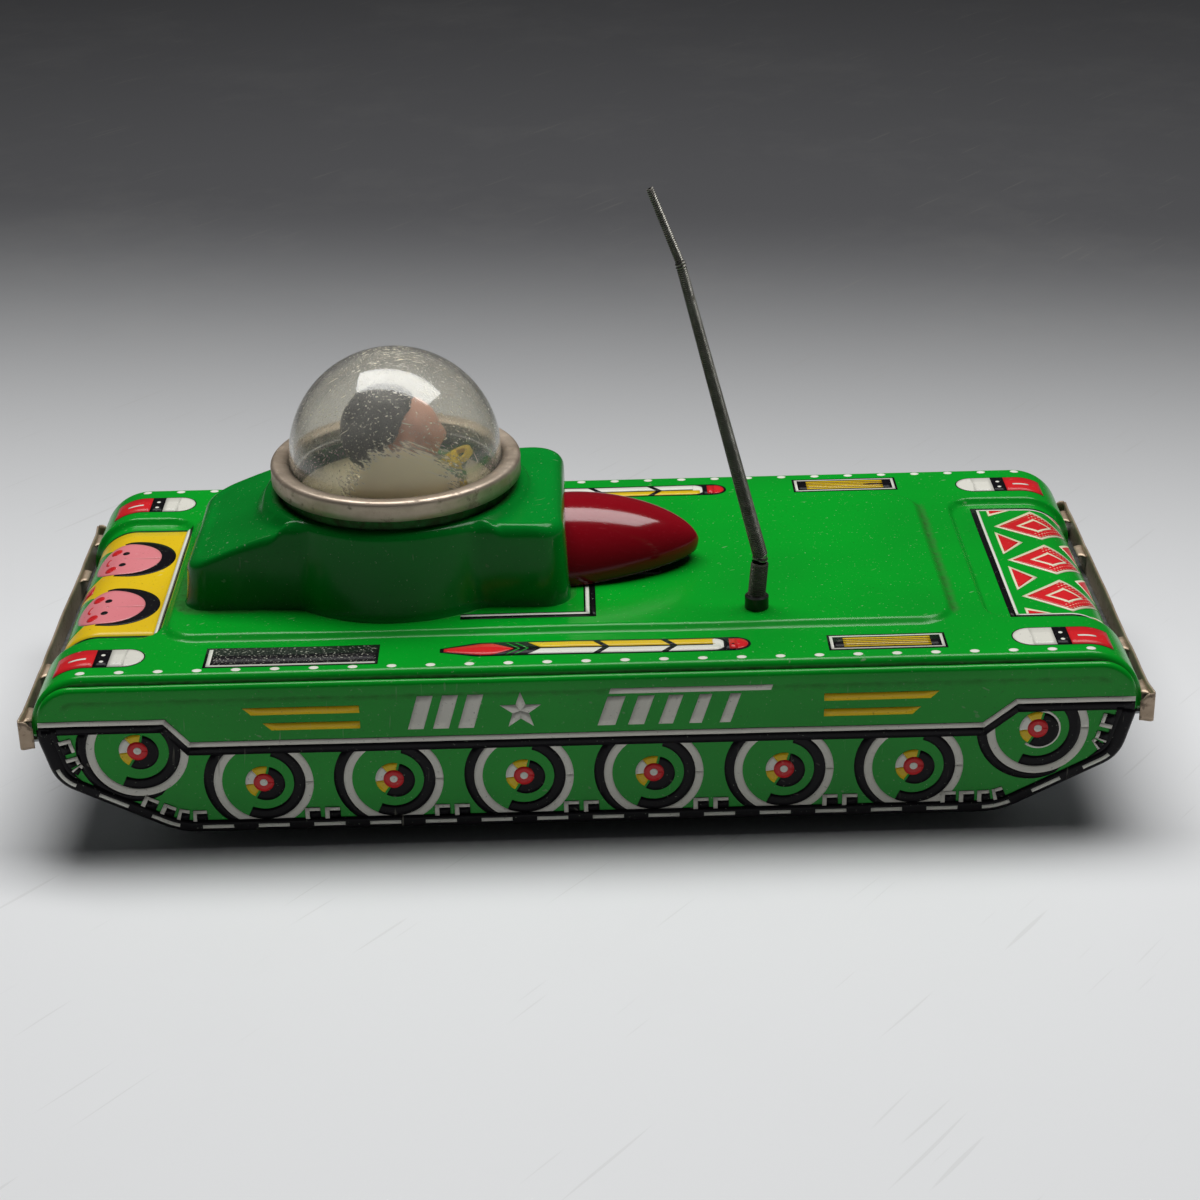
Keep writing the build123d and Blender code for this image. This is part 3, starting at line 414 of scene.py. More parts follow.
def hullSkin():
    # a grid over (along, across): flat with stamped relief, rolled down by the sine and cosine of the
    # way past the straight part at both ends, and dropped at the long edges as a skirt
    reach = hull["straight"] + hull["roll"] * pi / 2 + hull["foot"]
    fine = [np.arange(edge - 2.4, edge + 2.5, 0.4) for edge in (-88.4, 76.2, 84.0)]
    s = np.unique(np.round(np.concatenate([np.linspace(-reach, reach, 320)] + fine), 3))
    across = [np.arange(edge - 2.4, edge + 2.5, 0.4) for edge in (-32.3, 32.3)]
    flat = np.unique(np.round(np.concatenate([np.linspace(-47.6, 47.6, 72)] + across), 3))
    bend = np.linspace(0, pi / 2, 7)
    cornerY = -hull["half"] + hull["corner"] * (1 - np.cos(bend))
    cornerDrop = hull["corner"] * (1 - np.sin(bend))
    skirt = np.linspace(hull["skirt"], hull["corner"], 6)[:-1]
    left = np.concatenate([np.full(5, -hull["half"]), cornerY])
    leftDrop = np.concatenate([skirt, cornerDrop])
    y = np.concatenate([left[:-1], flat, -left[::-1][1:]])
    drop = np.concatenate([leftDrop[:-1], 0 * flat, leftDrop[::-1][1:]])
    ss, yy = np.meshgrid(s, y, indexing="ij")
    dd = np.broadcast_to(drop, ss.shape)
    points = deckPoint(ss, yy, 0.0, dd)
    fold = np.exp(-((deckMiddle(ss, yy) + 0.9) / 0.7) ** 2) * (dd == 0) * 0.55
    edge = np.exp(-((np.abs(yy) - 48.7) / 0.6) ** 2) * (dd < 1.5) * 0.66
    # painted shade: darker round the turret's foot and the antenna's foot and down the skirt under the panel
    # lip; painted shade and dirt in the crease ahead of the raised middle
    seat = roundBox(ss, yy, (-44.5, 0), (42.5, 23), 6)
    bulge = np.hypot(ss + 39.7, yy) - 29.6
    close = np.minimum(seat, bulge)
    shadeAndGrime = np.exp(-(np.maximum(close + 0.3, 0) / 0.7) ** 2) * 0.7
    shadeAndGrime = np.maximum(shadeAndGrime, 0.5 * np.exp(-(np.hypot(ss - 36, yy + 26) / 4.2) ** 2))
    shadeAndGrime = np.maximum(shadeAndGrime, (dd > 1.3) * 0.75)
    shadeAndGrime = np.maximum(shadeAndGrime, 0.72 * np.exp(-((ss - 77.2) / 1.5) ** 2) * smooth(32, 26, np.abs(yy)))
    # the opening under the nose, where the flint arm lifts through
    faces = gridFaces(len(s), len(y))
    faceS, faceY = (v.reshape(-1)[faces].mean(axis=1) for v in (ss, yy))
    closed = (faceS < hull["openFrom"]) | (faceS > hull["openTo"]) | (np.abs(faceY) > hull["openHalf"])
    faces = faces[closed]
    used, faces = np.unique(faces, return_inverse=True)
    attributes = {"wear": np.maximum(fold, edge).reshape(-1)[used], "shadeAndGrime": shadeAndGrime.reshape(-1)[used]}
    piece = makePiece("hull_skin", points.reshape(-1, 3)[used], faces.reshape(-1, 4), greenTin, "hull",
                      weld=False, attributes=attributes, shell=hull["thickness"], angle=60)
    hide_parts("top_shell")


hullSkin()
print("hull skin")

# ---- track panels ----

panel = {"face": 50.28, "flange": 3.3, "lip": 1.25, "round": 1.1, "thickness": 0.4,
         "corners": [(-84.7, 3.65), (84.7, 3.65), (108.9, 15.95), (111.9, 27), (110.9, 37.65),
                     (-110.9, 37.65), (-111.9, 27), (-108.9, 15.95)],
         "radii": [16, 16, 8, 8, 8, 8, 8, 8]}


def roundedOutline(corners, radii, step):
    # straight runs joined by arcs, counterclockwise, as points and inward normals
    pts = np.array(corners, float)
    out = []
    count = len(pts)
    for k in range(count):
        here, before, after = pts[k], pts[k - 1], pts[(k + 1) % count]
        a = (before - here) / np.linalg.norm(before - here)
        b = (after - here) / np.linalg.norm(after - here)
        half = math.acos(np.clip(a @ b, -1, 1)) / 2
        reach = radii[k] / math.tan(half)
        centre = here + (a + b) / np.linalg.norm(a + b) * radii[k] / math.sin(half)
        start, end = here + a * reach - centre, here + b * reach - centre
        first = math.atan2(start[1], start[0])
        sweep = (math.atan2(end[1], end[0]) - first) % (2 * pi)
        angles = first + np.linspace(0, sweep, max(6, int(abs(sweep) * radii[k] / step * 2)))
        out.append(centre + radii[k] * np.stack([np.cos(angles), np.sin(angles)], axis=-1))
    dense = []
    for k in range(count):
        dense.append(out[k])
        a, b = out[k][-1], out[(k + 1) % count][0]
        runs = max(2, int(np.linalg.norm(b - a) / step))
        dense.append(a + (b - a) * (np.arange(1, runs) / runs)[:, None])
    points = np.concatenate(dense)
    tangent = np.roll(points, -1, axis=0) - np.roll(points, 1, axis=0)
    tangent /= np.linalg.norm(tangent, axis=1, keepdims=True)
    return points, np.stack([-tangent[:, 1], tangent[:, 0]], axis=-1)


rimPoints, rimInward = roundedOutline(panel["corners"], panel["radii"], 1.6)
rimLength = np.concatenate([[0], np.cumsum(np.linalg.norm(np.diff(rimPoints, axis=0), axis=1))])
# arc length counted from the middle of the bottom run
bottom = np.argmin(np.abs(rimPoints[:, 0]) + (rimPoints[:, 1] > 10) * 1000)
rimTotal = rimLength[-1] + np.linalg.norm(rimPoints[0] - rimPoints[-1])


def rimAt(s):
    # outline point and inward normal at arc length s from the middle of the bottom
    u = (np.asarray(s, float) + rimLength[bottom]) % rimTotal
    knots = np.append(rimLength, rimTotal)
    closedP = np.vstack([rimPoints, rimPoints[:1]])
    closedN = np.vstack([rimInward, rimInward[:1]])
    p = np.stack([np.interp(u, knots, closedP[:, k]) for k in (0, 1)], axis=-1)
    n = np.stack([np.interp(u, knots, closedN[:, k]) for k in (0, 1)], axis=-1)
    return p, n / np.linalg.norm(n, axis=-1, keepdims=True)


def faceSink(x, z):
    # the printed face is a little hollow and unevenly pressed
    slopeX, slopeZ = 12.3, 24.2
    toSlope = (slopeX * (84.7 - np.abs(x)) + slopeZ * (z - 3.65)) / math.hypot(slopeX, slopeZ)
    toEnd = 108.9 + 0.27 * (z - 15.95) - np.abs(x)
    inside = np.minimum(np.minimum(z - 3.65, 37.65 - z), np.minimum(toSlope, toEnd))
    return smooth(1.1, 9.0, inside) * (0.16 + 0.12 * ripple(x, z, 48, 3.0) + 0.04 * ripple(x, z, 14, 1.0))


def sidePoint(x, z, lift, side):
    x, z = np.broadcast_arrays(np.asarray(x, float), np.asarray(z, float))
    return np.stack([x, side * (panel["face"] - faceSink(x, z) + lift), z], axis=-1)


def rimSurface(s, w, lift, side):
    # w is the way across the rim: 0 where the flange starts to turn, past the rounding and onto the face
    s, w = np.broadcast_arrays(np.asarray(s, float), np.asarray(w, float))
    p, n = rimAt(s)
    r = panel["round"]
    turn = np.clip(w / r, 0, pi / 2)
    inset = r * (1 - np.cos(turn)) + np.maximum(w - r * pi / 2, 0) - lift * np.cos(turn)
    y = panel["face"] - r + r * np.sin(turn) + np.minimum(w, 0) + lift * np.sin(turn)
    q = p + n * inset[..., None]
    return np.stack([q[..., 0], side * y, q[..., 1]], axis=-1)


def trackPanel(side, name, node):
    # rings around the outline: flange, quarter-round rim, then straight lines in to the middle row,
    # with the face sunk by faceSink
    r = panel["round"]
    count = len(rimPoints)
    upper = smooth(27, 32, rimPoints[:, 1])
    depth = panel["flange"] - (panel["flange"] - panel["lip"]) * upper
    # the lip along the top is dinted here and there
    dint = 0.10 * upper * np.maximum(ripple(rimPoints[:, 0], 0 * rimPoints[:, 0], 23, 4.0 + side), 0)
    columns = []
    for t in (0.0, 0.5, 1.0):
        columns.append((0 * depth + dint, panel["face"] - depth + (depth - r) * t))
    for turn in np.linspace(0, pi / 2, 7)[1:]:
        columns.append((r * (1 - math.cos(turn)) + dint * (1 - turn / 1.6),
                        panel["face"] - r + r * math.sin(turn) + 0 * depth))
    rings = [np.stack([rimPoints[:, 0] + rimInward[:, 0] * i, side * y,
                       rimPoints[:, 1] + rimInward[:, 1] * i], axis=-1) for i, y in columns]
    rim = rimPoints + rimInward * 2.2
    # both halves of the face meet on one row of shared points, every 2 mm
    spine = np.stack([2.0 * np.round(np.clip(rim[:, 0], -92, 92) / 2.0), np.full(count, 20.8)], axis=-1)
    for t in np.linspace(0, 1, 15):
        q = rim + (spine - rim) * t
        rings.append(sidePoint(q[:, 0], q[:, 1], 0.0, side))
    points = np.stack(rings, axis=1)
    width = points.shape[1]
    wear = np.zeros((count, width))
    wear[:, 3:10] = np.array([0.3, 0.6, 0.75, 0.7, 0.55, 0.4, 0.15]) * (0.45 + 0.55 * upper[:, None])
    # painted shade: dark on the turned-in flange and in a band on the face just under the top lip
    shadeAndGrime = np.zeros((count, width))
    shadeAndGrime[:, :2] = 0.8
    shadeAndGrime[:, 10:13] = (0.55 * smooth(33, 37, rimPoints[:, 1]))[:, None] * np.array([1.0, 0.5, 0.15])
    faces = gridFaces(count, width, loopRows=True)
    if side > 0:
        faces = faces[:, ::-1]
    piece = makePiece(name, points, faces, greenTin, "hull",
                      attributes={"wear": wear, "shadeAndGrime": shadeAndGrime}, shell=panel["thickness"], angle=60)
    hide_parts(node)


trackPanel(-1, "track_panel_right", "right_side_panel")
trackPanel(1, "track_panel_left", "left_side_panel")
print("track panels")

# ---- printed patterns: flat shapes as small grids, laid on the pressed tin ----


def strip(points, width, step=2.5):
    # a line of the given width with mitred corners
    p = np.array(points, float)
    d = np.diff(p, axis=0)
    d /= np.linalg.norm(d, axis=1, keepdims=True)
    n = np.stack([-d[:, 1], d[:, 0]], axis=-1)
    mitre = np.vstack([n[:1], n[:-1] + n[1:], n[-1:]])
    mitre /= np.einsum("ij,ij->i", mitre, np.vstack([n[:1], n]))[:, None]
    grids = []
    for a, b, ma, mb in zip(p[:-1], p[1:], mitre[:-1], mitre[1:]):
        t = np.linspace(0, 1, max(2, int(np.linalg.norm(b - a) / step) + 1))[:, None, None]
        w = np.array([0.5, 0.0, -0.5])[None, :, None] * width
        grids.append((a + (b - a) * t) + (ma + (mb - ma) * t) * w)
    return grids


def sector(cx, cy, r0, r1, a0, a1, squashY=1.0):
    # part of a ring, angles in degrees counterclockwise from the first axis
    a = np.radians(np.linspace(a0, a1, max(6, int(abs(a1 - a0) / 9) + 1,
                                           int(math.radians(abs(a1 - a0)) * r1 / 0.8))))[:, None]
    r = np.linspace(r1, r0, max(4, int((r1 - r0) / 0.9) + 2))[None, :]
    return np.stack([cx + r * np.cos(a), cy + squashY * r * np.sin(a)], axis=-1)


def ruled(x, low, high, across=4):
    # fills between two curves over x
    x, low, high = np.broadcast_arrays(np.asarray(x, float), low, high)
    t = np.linspace(0, 1, across)[None, :]
    return np.stack([np.repeat(x[:, None], across, 1), high[:, None] + (low - high)[:, None] * t],
                    axis=-1)


def quad(a, b, c, d, n=4, m=3):
    # four corners, a to b along the first row and d to c along the last
    a, b, c, d = (np.array(k, float) for k in (a, b, c, d))
    u = np.linspace(0, 1, n)[:, None, None]
    v = np.linspace(0, 1, m)[None, :, None]
    return a * (1 - u) * (1 - v) + b * u * (1 - v) + c * u * v + d * (1 - u) * v


def box2(x0, x1, y0, y1):
    n = max(2, int(abs(x1 - x0) / 0.9) + 1)
    m = max(2, int(abs(y1 - y0) / 2.5) + 1)
    return quad((x0, y0), (x1, y0), (x1, y1), (x0, y1), n, m)


class Print:
    # gathers shapes by ink, then lays each ink as one thin sheet; a higher layer lies further out
    def __init__(self):
        self.inks = {}

    def add(self, ink, layer, *grids):
        for grid in grids:
            for one in (grid if isinstance(grid, list) else [grid]):
                self.inks.setdefault(ink, []).append((layer, one, None))

    def rim(self, ink, layer, *grids):
        for one in grids:
            self.inks.setdefault(ink, []).append((layer, one, "rim"))

    def lay(self, prefix, surface, rimLaid=None, up=None):
        for ink, shapes in self.inks.items():
            points, faces, start = [], [], 0
            for layer, grid, where in shapes:
                lift = 0.018 + 0.011 * layer
                laid = (rimLaid if where == "rim" else surface)(grid[..., 0], grid[..., 1], lift)
                quads = gridFaces(grid.shape[0], grid.shape[1], start=start)
                flat = laid.reshape(-1, 3)
                q = quads - start
                normal = np.cross(flat[q[:, 2]] - flat[q[:, 0]],
                                  flat[q[:, 3]] - flat[q[:, 1]]).sum(axis=0)
                middle = flat.mean(axis=0)
                if normal @ np.asarray(up(middle)) < 0:
                    quads = quads[:, ::-1]
                points.append(flat)
                faces.append(quads)
                start += len(flat)
            piece = makePiece(prefix + "_" + ink.name.replace("litho_", ""), np.concatenate(points),
                              np.concatenate(faces), ink, "hull", weld=False, shell=0.012, angle=30)


wheelsX = [-66.6, -40.0, -13.3, 13.3, 40.0, 66.6]


def cut(grid):
    # the rings run under the belt line and the track band
    grid = np.array(grid)
    ceiling = np.interp(np.abs(grid[..., 0]), (81.2, 86.2), (22.6, 27.6))
    grid[..., 1] = np.clip(grid[..., 1], 6.4, ceiling)
    return grid


def wheel(ink, cx, cz, size, outer):
    # black shade outside, pale ring, black three-quarter ring and the hub
    shade = np.radians(np.linspace(100, outer, 26))
    far = size + 2.1 * np.sin(np.linspace(0.25 * pi, pi, 26)) ** 0.5
    near = 0 * far + size - 0.4
    crescent = [np.stack([cx + r * np.cos(shade), cz + r * np.sin(shade)], -1) for r in (far, near)]
    ink.add(blackInk, 1, cut(np.stack(crescent, 1)))
    ink.add(greyInk, 2, cut(sector(cx, cz, size - 1.7, size, 0, 360)))
    ink.add(blackInk, 3, cut(sector(cx, cz, size - 4.0, size - 1.65, -115, 74)))
    ink.add(blackInk, 3, sector(cx + 0.4, cz - 0.3, 0, 3.95, -122, 76))
    ink.add(yellowInk, 4, sector(cx, cz, 1.6, 3.75, 76, 128), sector(cx, cz, 1.6, 3.75, 186, 238))
    ink.add(paleInk, 4, sector(cx, cz, 1.6, 3.75, 128, 186))
    ink.add(redInk, 5, sector(cx, cz, 0, 2.1, 0, 360))
    ink.add(paleInk, 6, sector(cx, cz, 0, 0.8, 0, 360))


def roadWheels(ink):
    for cx in wheelsX:
        wheel(ink, cx, 15.2, 10.2, 262)
    for cx in (-91.7, 91.7):
        wheel(ink, cx, 23.2, 10.4, 300)
    ink.add(paleInk, 2, sector(92.0, 23.0, 3.9, 4.4, -130, 90))


def trackBand(ink):
    # belt line above the wheels, pale over black
    belt = [(-111.2, 29.75), (-85.7, 29.75), (-81.1, 24.4), (80.6, 24.3), (87.2, 29.5), (111.2, 29.5)]
    ink.add(greyInk, 8, strip(belt, 1.1))
    ink.add(blackInk, 7, strip([(x, z - 1.45) for x, z in belt], 2.1))
    # black track band round the foot and up both ends to the belt
    s = np.linspace(-123.5, 123.5, 190)[:, None]
    w = np.array([-1.0, 0.0, 0.45, 0.9, 1.3, 1.73, 2.6, 3.7])[None, :]
    ink.rim(blackInk, 7, np.stack(np.broadcast_arrays(s, w), axis=-1))
    for k in range(-10, 10):
        ink.rim(paleInk, 8, box2(11.5 * k + 1.4, 11.5 * k + 7.8, 1.75, 2.55))
    # blocks of the track stand on the band, each with a pale bent stroke
    starts = [gap + back for gap in (-53.3, -26.6, 0.0, 26.7, 53.3) for back in (-4.5, -0.4)]
    for spot in starts + [-119.6, -115.4, -111.2, -93.6, -89.4, -85.3, -81.1, 73.2, 77.0, 80.8, 84.8,
                          109.6, 113.8, 118.0]:
        deep = 3.4 + 1.1 * (abs(spot) > 100)
        ink.rim(greyInk, 8, box2(spot, spot + 0.9, deep, deep + 2.6),
                box2(spot + 0.9, spot + 3.1, deep + 1.85, deep + 2.6))
        ink.rim(blackInk, 7, box2(spot + 0.9, spot + 3.2, deep, deep + 1.9))
    # the band is broader up both ends
    for low, high in ((-124.0, -104.0), (104.0, 124.0)):
        ends = np.linspace(low, high, 16)[:, None]
        wide = 3.4 + 1.4 * smooth(104, 112, np.abs(ends)) * np.array([0.0, 0.5, 1.0])[None, :]
        ink.rim(blackInk, 6, np.stack(np.broadcast_arrays(ends, wide), axis=-1))


def sideFlashes(ink):
    # speed bars with raked outer ends
    for hand, inner, outer in ((-1, 46.1, (69.7, 65.8)), (1, 48.0, (71.3, 67.7))):
        for z0, z1, end in ((30.75, 32.4, outer[0]), (27.2, 28.85, outer[1])):
            ink.add(yellowInk, 2, quad((hand * inner, z0), (hand * (end - 1.7), z0), (hand * end, z1),
                                       (hand * inner, z1), 10, 3))
    # plain raked flashes either side of a star
    for x0 in (-36.5, -31.4, -26.3):
        ink.add(greyInk, 2, quad((x0, 26.6), (x0 + 3.2, 26.6), (x0 + 5.4, 34.2), (x0 + 2.2, 34.2), 4, 6))
    for k in range(5):
        tip = pi / 2 + k * 2 * pi / 5
        a = np.array([math.cos(tip), math.sin(tip)])
        b = np.array([math.cos(tip - pi / 5), math.sin(tip - pi / 5)])
        c = np.array([math.cos(tip + pi / 5), math.sin(tip + pi / 5)])
        centre = np.array([-13.5, 30.2])
        ink.add(greyInk, 2, quad(centre, centre + 1.75 * b, centre + 4.4 * a, centre + 1.75 * c, 3, 3))
    for k, x0 in enumerate((2.0, 8.2, 14.4, 20.6, 26.8)):
        ink.add(greyInk, 2, quad((x0, 26.4), (x0 + 3.6 - 0.35 * k, 26.4), (x0 + 5.8 - 0.35 * k, 33.0),
                                 (x0 + 2.2, 33.0), 4, 6))
    ink.add(greyInk, 2, quad((4.4, 33.6), (37.2, 33.6), (37.6, 34.8), (4.8, 34.8), 14, 2))


def sidePrint(side, name):
    ink = Print()
    roadWheels(ink)
    trackBand(ink)
    sideFlashes(ink)
    ink.lay(name, lambda a, b, lift: sidePoint(a, b, lift, side), lambda a, b,
            lift: rimSurface(a, b, lift, side), lambda middle: (0, side, -0.4 if middle[2] < 6 else 0))


sidePrint(-1, "right_print")
sidePrint(1, "left_print")
print("side print")


def deckRivets(ink):
    for k in range(27):
        for y in (-46.9, 46.9):
            ink.add(paleInk, 1, sector(-102.2 + 7.862 * k, y, 0, 1.0, 0, 360, 0.72))


def chevron(x, width, reach, y):
    # two slanting bars that meet at a tip on the middle line
    tail, tip = (x, x + width), (x + reach, x + reach + width)
    return [quad((tail[0], y - 2.6), (tail[1], y - 2.6), (tip[1], y), (tip[0], y)),
            quad((tip[0], y), (tip[1], y), (tail[1], y + 2.6), (tail[0], y + 2.6))]


def missiles(ink):
    for y in (-40.75, 40.4):
        # missile: red tip, black chevrons over a body half yellow and half pale, and a red tail cap;
        # yellow is the inner half
        half = 3.1
        hand = 1 if y < 0 else -1
        x = np.linspace(-29.8, -13.4, 16)
        lean = half * np.minimum(1, np.minimum((x + 32.5) / 10, (-13.2 - x) / 4.4))
        ink.add(blackInk, 2, ruled(x, y - lean, y + lean))
        x = np.linspace(-29.0, -14.8, 16)
        lean = (half - 0.55) * np.minimum(1, np.minimum((x + 31.5) / 10, (-14.6 - x) / 4.4))
        ink.add(redInk, 3, ruled(x, y - lean, y + lean))
        ink.add(blackInk, 2, box2(-18.6, 30.4, y - half, y + half), sector(30.4, y, 0, half, -90, 90))
        for step in (0.0, 1.8):
            ink.add(greenTin, 4, chevron(step - 16.4, 0.4, 2.6, y))
        for tone, out in ((yellowInk, hand), (paleInk, -hand)):
            ink.add(tone, 3, quad((-11.8, y + out * 2.6), (-9.2, y + out * 0.25), (27.6, y + out * 0.25),
                                  (27.6, y + out * 2.6), 2, 40))
        ink.add(paleInk, 3, sector(26.0, y, 0, 2.6, -90, 90))
        for spot in (3.4, 17.3):
            ink.add(blackInk, 5, chevron(spot - 1.9, 1.4, 2.1, y))
        ink.add(blackInk, 4, sector(26.0, y, 2.6, 3.1, -90, 90), box2(28.2, 30.4, y - 3.0, y + 3.0))
        ink.add(redInk, 5, box2(29.3, 30.9, y - 2.3, y + 2.3), sector(30.9, y, 0, 2.3, -90, 90))
        ink.add(blackInk, 3, sector(30.9, y, 2.3, 2.85, -90, 90))


def grilles(ink):
    # dotted grille panels, black frame with a pale line on the rear and near sides
    for y0, y1 in ((-45.4, -37.4), (36.8, 44.8)):
        ink.add(blackInk, 1, box2(-77.7, -42.2, y0 - 0.5, y1 + 0.4))
        ink.add(paleInk, 2, box2(-77.1, -42.8, y0, y1 - 0.3))
        ink.add(dottedInk, 3, box2(-76.3, -42.7, y0 + 0.7, y1))
    for y0, y1 in ((-45.0, -38.0), (37.6, 45.0)):
        # slatted grilles
        ink.add(blackInk, 1, box2(49.4, 73.6, y0, y1))
        ink.add(paleInk, 2, box2(49.9, 73.1, y0 + 0.5, y1 - 0.5))
        ink.add(blackInk, 3, box2(50.5, 72.5, y0 + 1.0, y1 - 1.0))
        ink.add(yellowInk, 4, box2(52.6, 70.4, y0 + 1.5, y1 - 1.5))
        for k in range(1, 5):
            line = y0 + 1.5 + k * (y1 - y0 - 3.0) / 5
            ink.add(brownInk, 5, box2(52.6, 70.4, line - 0.22, line + 0.22))


def lamps(ink):
    for x0, x1, y in ((-108.4, -90.2, -40.4), (-108.4, -90.0, 39.4), (107.0, 87.3, -41.0),
                      (107.0, 87.5, 39.4)):
        # lamps: red outer half, black band with two dots, white rounded end
        along = 1 if x1 > x0 else -1
        half = 3.9
        sx0 = x0 - along * 0.6
        bow = (-90, 90) if along > 0 else (90, 270)
        ink.add(redInk, 2, box2(sx0, x0 + along * 8.2, y - half, y + half))
        ink.add(paleInk, 3, box2(x0 + along * 2.6, x0 + along * 6.4, y - 0.35, y + 0.35))
        ink.add(blackInk, 2, box2(x0 + along * 8.2, x0 + along * 11.2, y - half, y + half))
        ink.add(paleInk, 3, sector(x0 + along * 9.7, y - 1.5, 0, 0.45, 0, 360),
                sector(x0 + along * 9.7, y + 1.5, 0, 0.45, 0, 360))
        ink.add(greyInk, 2, box2(x0 + along * 11.2, x1 - along * 3.9, y - half, y + half))
        ink.add(greyInk, 2, sector(x1 - along * 3.9, y, 0, half, *bow))
        ink.add(blackInk, 1, sector(x1 - along * 3.9, y, half, half + 0.25, *bow),
                box2(sx0, x1 - along * 3.9, y - half - 0.25, y - half),
                box2(sx0, x1 - along * 3.9, y + half, y + half + 0.25))


def frameLine(ink):
    # frame line that shows past the turret's front corners
    for hand in (-1, 1):
        ink.add(blackInk, 1, strip([(-26, hand * 28.2), (1.7, hand * 28.2), (1.7, 0)], 1.3))
        ink.add(paleInk, 1, strip([(-26, hand * 27.1), (0.6, hand * 27.1), (0.6, 0)], 0.8))
        ink.add(blackInk, 1, strip([(-26, hand * 26.5), (0.0, hand * 26.5), (0.0, 0)], 0.35))


def rearPicture(ink):
    # rear picture: two plain round-headed riders on yellow
    ink.add(yellowInk, 1, box2(-113.5, -90.4, -27.0, 27.0))
    ink.add(paleInk, 2, box2(-90.4, -89.7, -27.4, 27.4))
    ink.add(blackInk, 2, box2(-89.7, -88.9, -27.4, 27.4), box2(-113.5, -90.4, -27.8, -27.2),
            box2(-113.5, -90.4, 27.2, 27.8))
    for y in (-12.6, 12.2):
        ink.add(greenTin, 2, sector(-113.0, y, 0, 9.0, -90, 90))
        ink.add(blackInk, 3, sector(-100.4, y, 0, 9.4, -112, 112))
        ink.add(pinkInk, 4, sector(-102.4, y, 0, 8.2, 0, 360))
        ink.add(blackInk, 5, sector(-102.6, y - 3.0, 0, 0.9, 0, 360),
                sector(-102.6, y + 3.0, 0, 0.9, 0, 360))
        ink.add(redInk, 5, sector(-105.4, y - 4.6, 0, 1.5, 0, 360),
                sector(-105.4, y + 4.6, 0, 1.5, 0, 360), sector(-105.4, y, 1.6, 2.2, 120, 240))
    ink.add(redInk, 3, quad((-112.5, -2.2), (-108.5, -2.2), (-108.5, 2.2), (-112.5, 2.2)))


def frontPicture(ink):
    # front picture: framed column of red and cream lozenges
    ink.add(blackInk, 2, box2(89.0, 90.3, -28.6, 28.6), box2(90.3, 113.5, -28.6, -27.8),
            box2(90.3, 113.5, 27.8, 28.6))
    ink.add(paleInk, 2, box2(90.3, 90.9, -27.8, 27.8), box2(90.9, 113.5, -27.8, -27.3),
            box2(90.9, 113.5, 27.3, 27.8))
    for y in (-18.6, 0.0, 18.6):
        cx = 102.6
        for ink1, layer, a, b in ((creamInk, 3, 9.6, 8.0), (redInk, 4, 8.5, 6.9),
                                  (creamInk, 5, 4.6, 3.7), (redInk, 6, 3.6, 2.7)):
            ink.add(ink1, layer, quad((cx - a, y), (cx, y - b), (cx + a, y), (cx, y + b), 12, 12))
    for y in (-27.2, -9.3, 9.3, 27.2):
        for cx, hand in ((92.6, 1), (112.4, -1)):
            reach = 6.2 if abs(y) < 20 else 3.0
            side = 0 if abs(y) < 20 else (1 if y > 0 else -1)
            tips = [(cx, y - (reach if side >= 0 else 0)), (cx + hand * 5.4, y),
                    (cx, y + (reach if side <= 0 else 0)), (cx, y)]
            ink.add(creamInk, 3, quad(*tips, 8, 8))
            tips = [(cx + hand * 0.5, y - (reach - 1.3 if side >= 0 else 0)), (cx + hand * 4.4, y),
                    (cx + hand * 0.5, y + (reach - 1.3 if side <= 0 else 0)), (cx + hand * 0.5, y)]
            ink.add(redInk, 4, quad(*tips, 8, 8))


def deckPrint():
    ink = Print()
    for shapes in (deckRivets, missiles, grilles, lamps, frameLine, rearPicture, frontPicture):
        shapes(ink)
    ink.lay("deck_print", lambda a, b, lift: deckPoint(a, b, lift), None,
            lambda middle: (1 if middle[0] > 100 else -1 if middle[0] < -100 else 0, 0, 1))


deckPrint()
print("deck print")

# ---- turret ----

turret = {"centre": -39.7, "foot": 40.35, "front": -3.0, "rear": -84.6, "frontHalf": 23.9,
          "rearHalf": 20.9, "corner": 5.5, "bulge": 29.3, "crease": -61.5, "slope": 0.405, "top": 58.9,
          "seat": 59.9, "neck": 25.3, "neckTop": 62.5, "round": 3.3, "lean": 0.105, "thickness": 0.4}


def turretTop(x, y):
    # sloping back, flat front block and the round seat under the dome ring
    crest = turret["top"] - turret["slope"] * np.maximum(turret["crease"] - x, 0)
    base = crest - 0.7 * np.exp(-((x - turret["crease"]) / 5.0) ** 2)
    r = np.hypot(x - turret["centre"], y)
    seat = turret["seat"] - 11.0 * smooth(27.6, 33.0, r)
    return softMax(base, seat, 0.9)


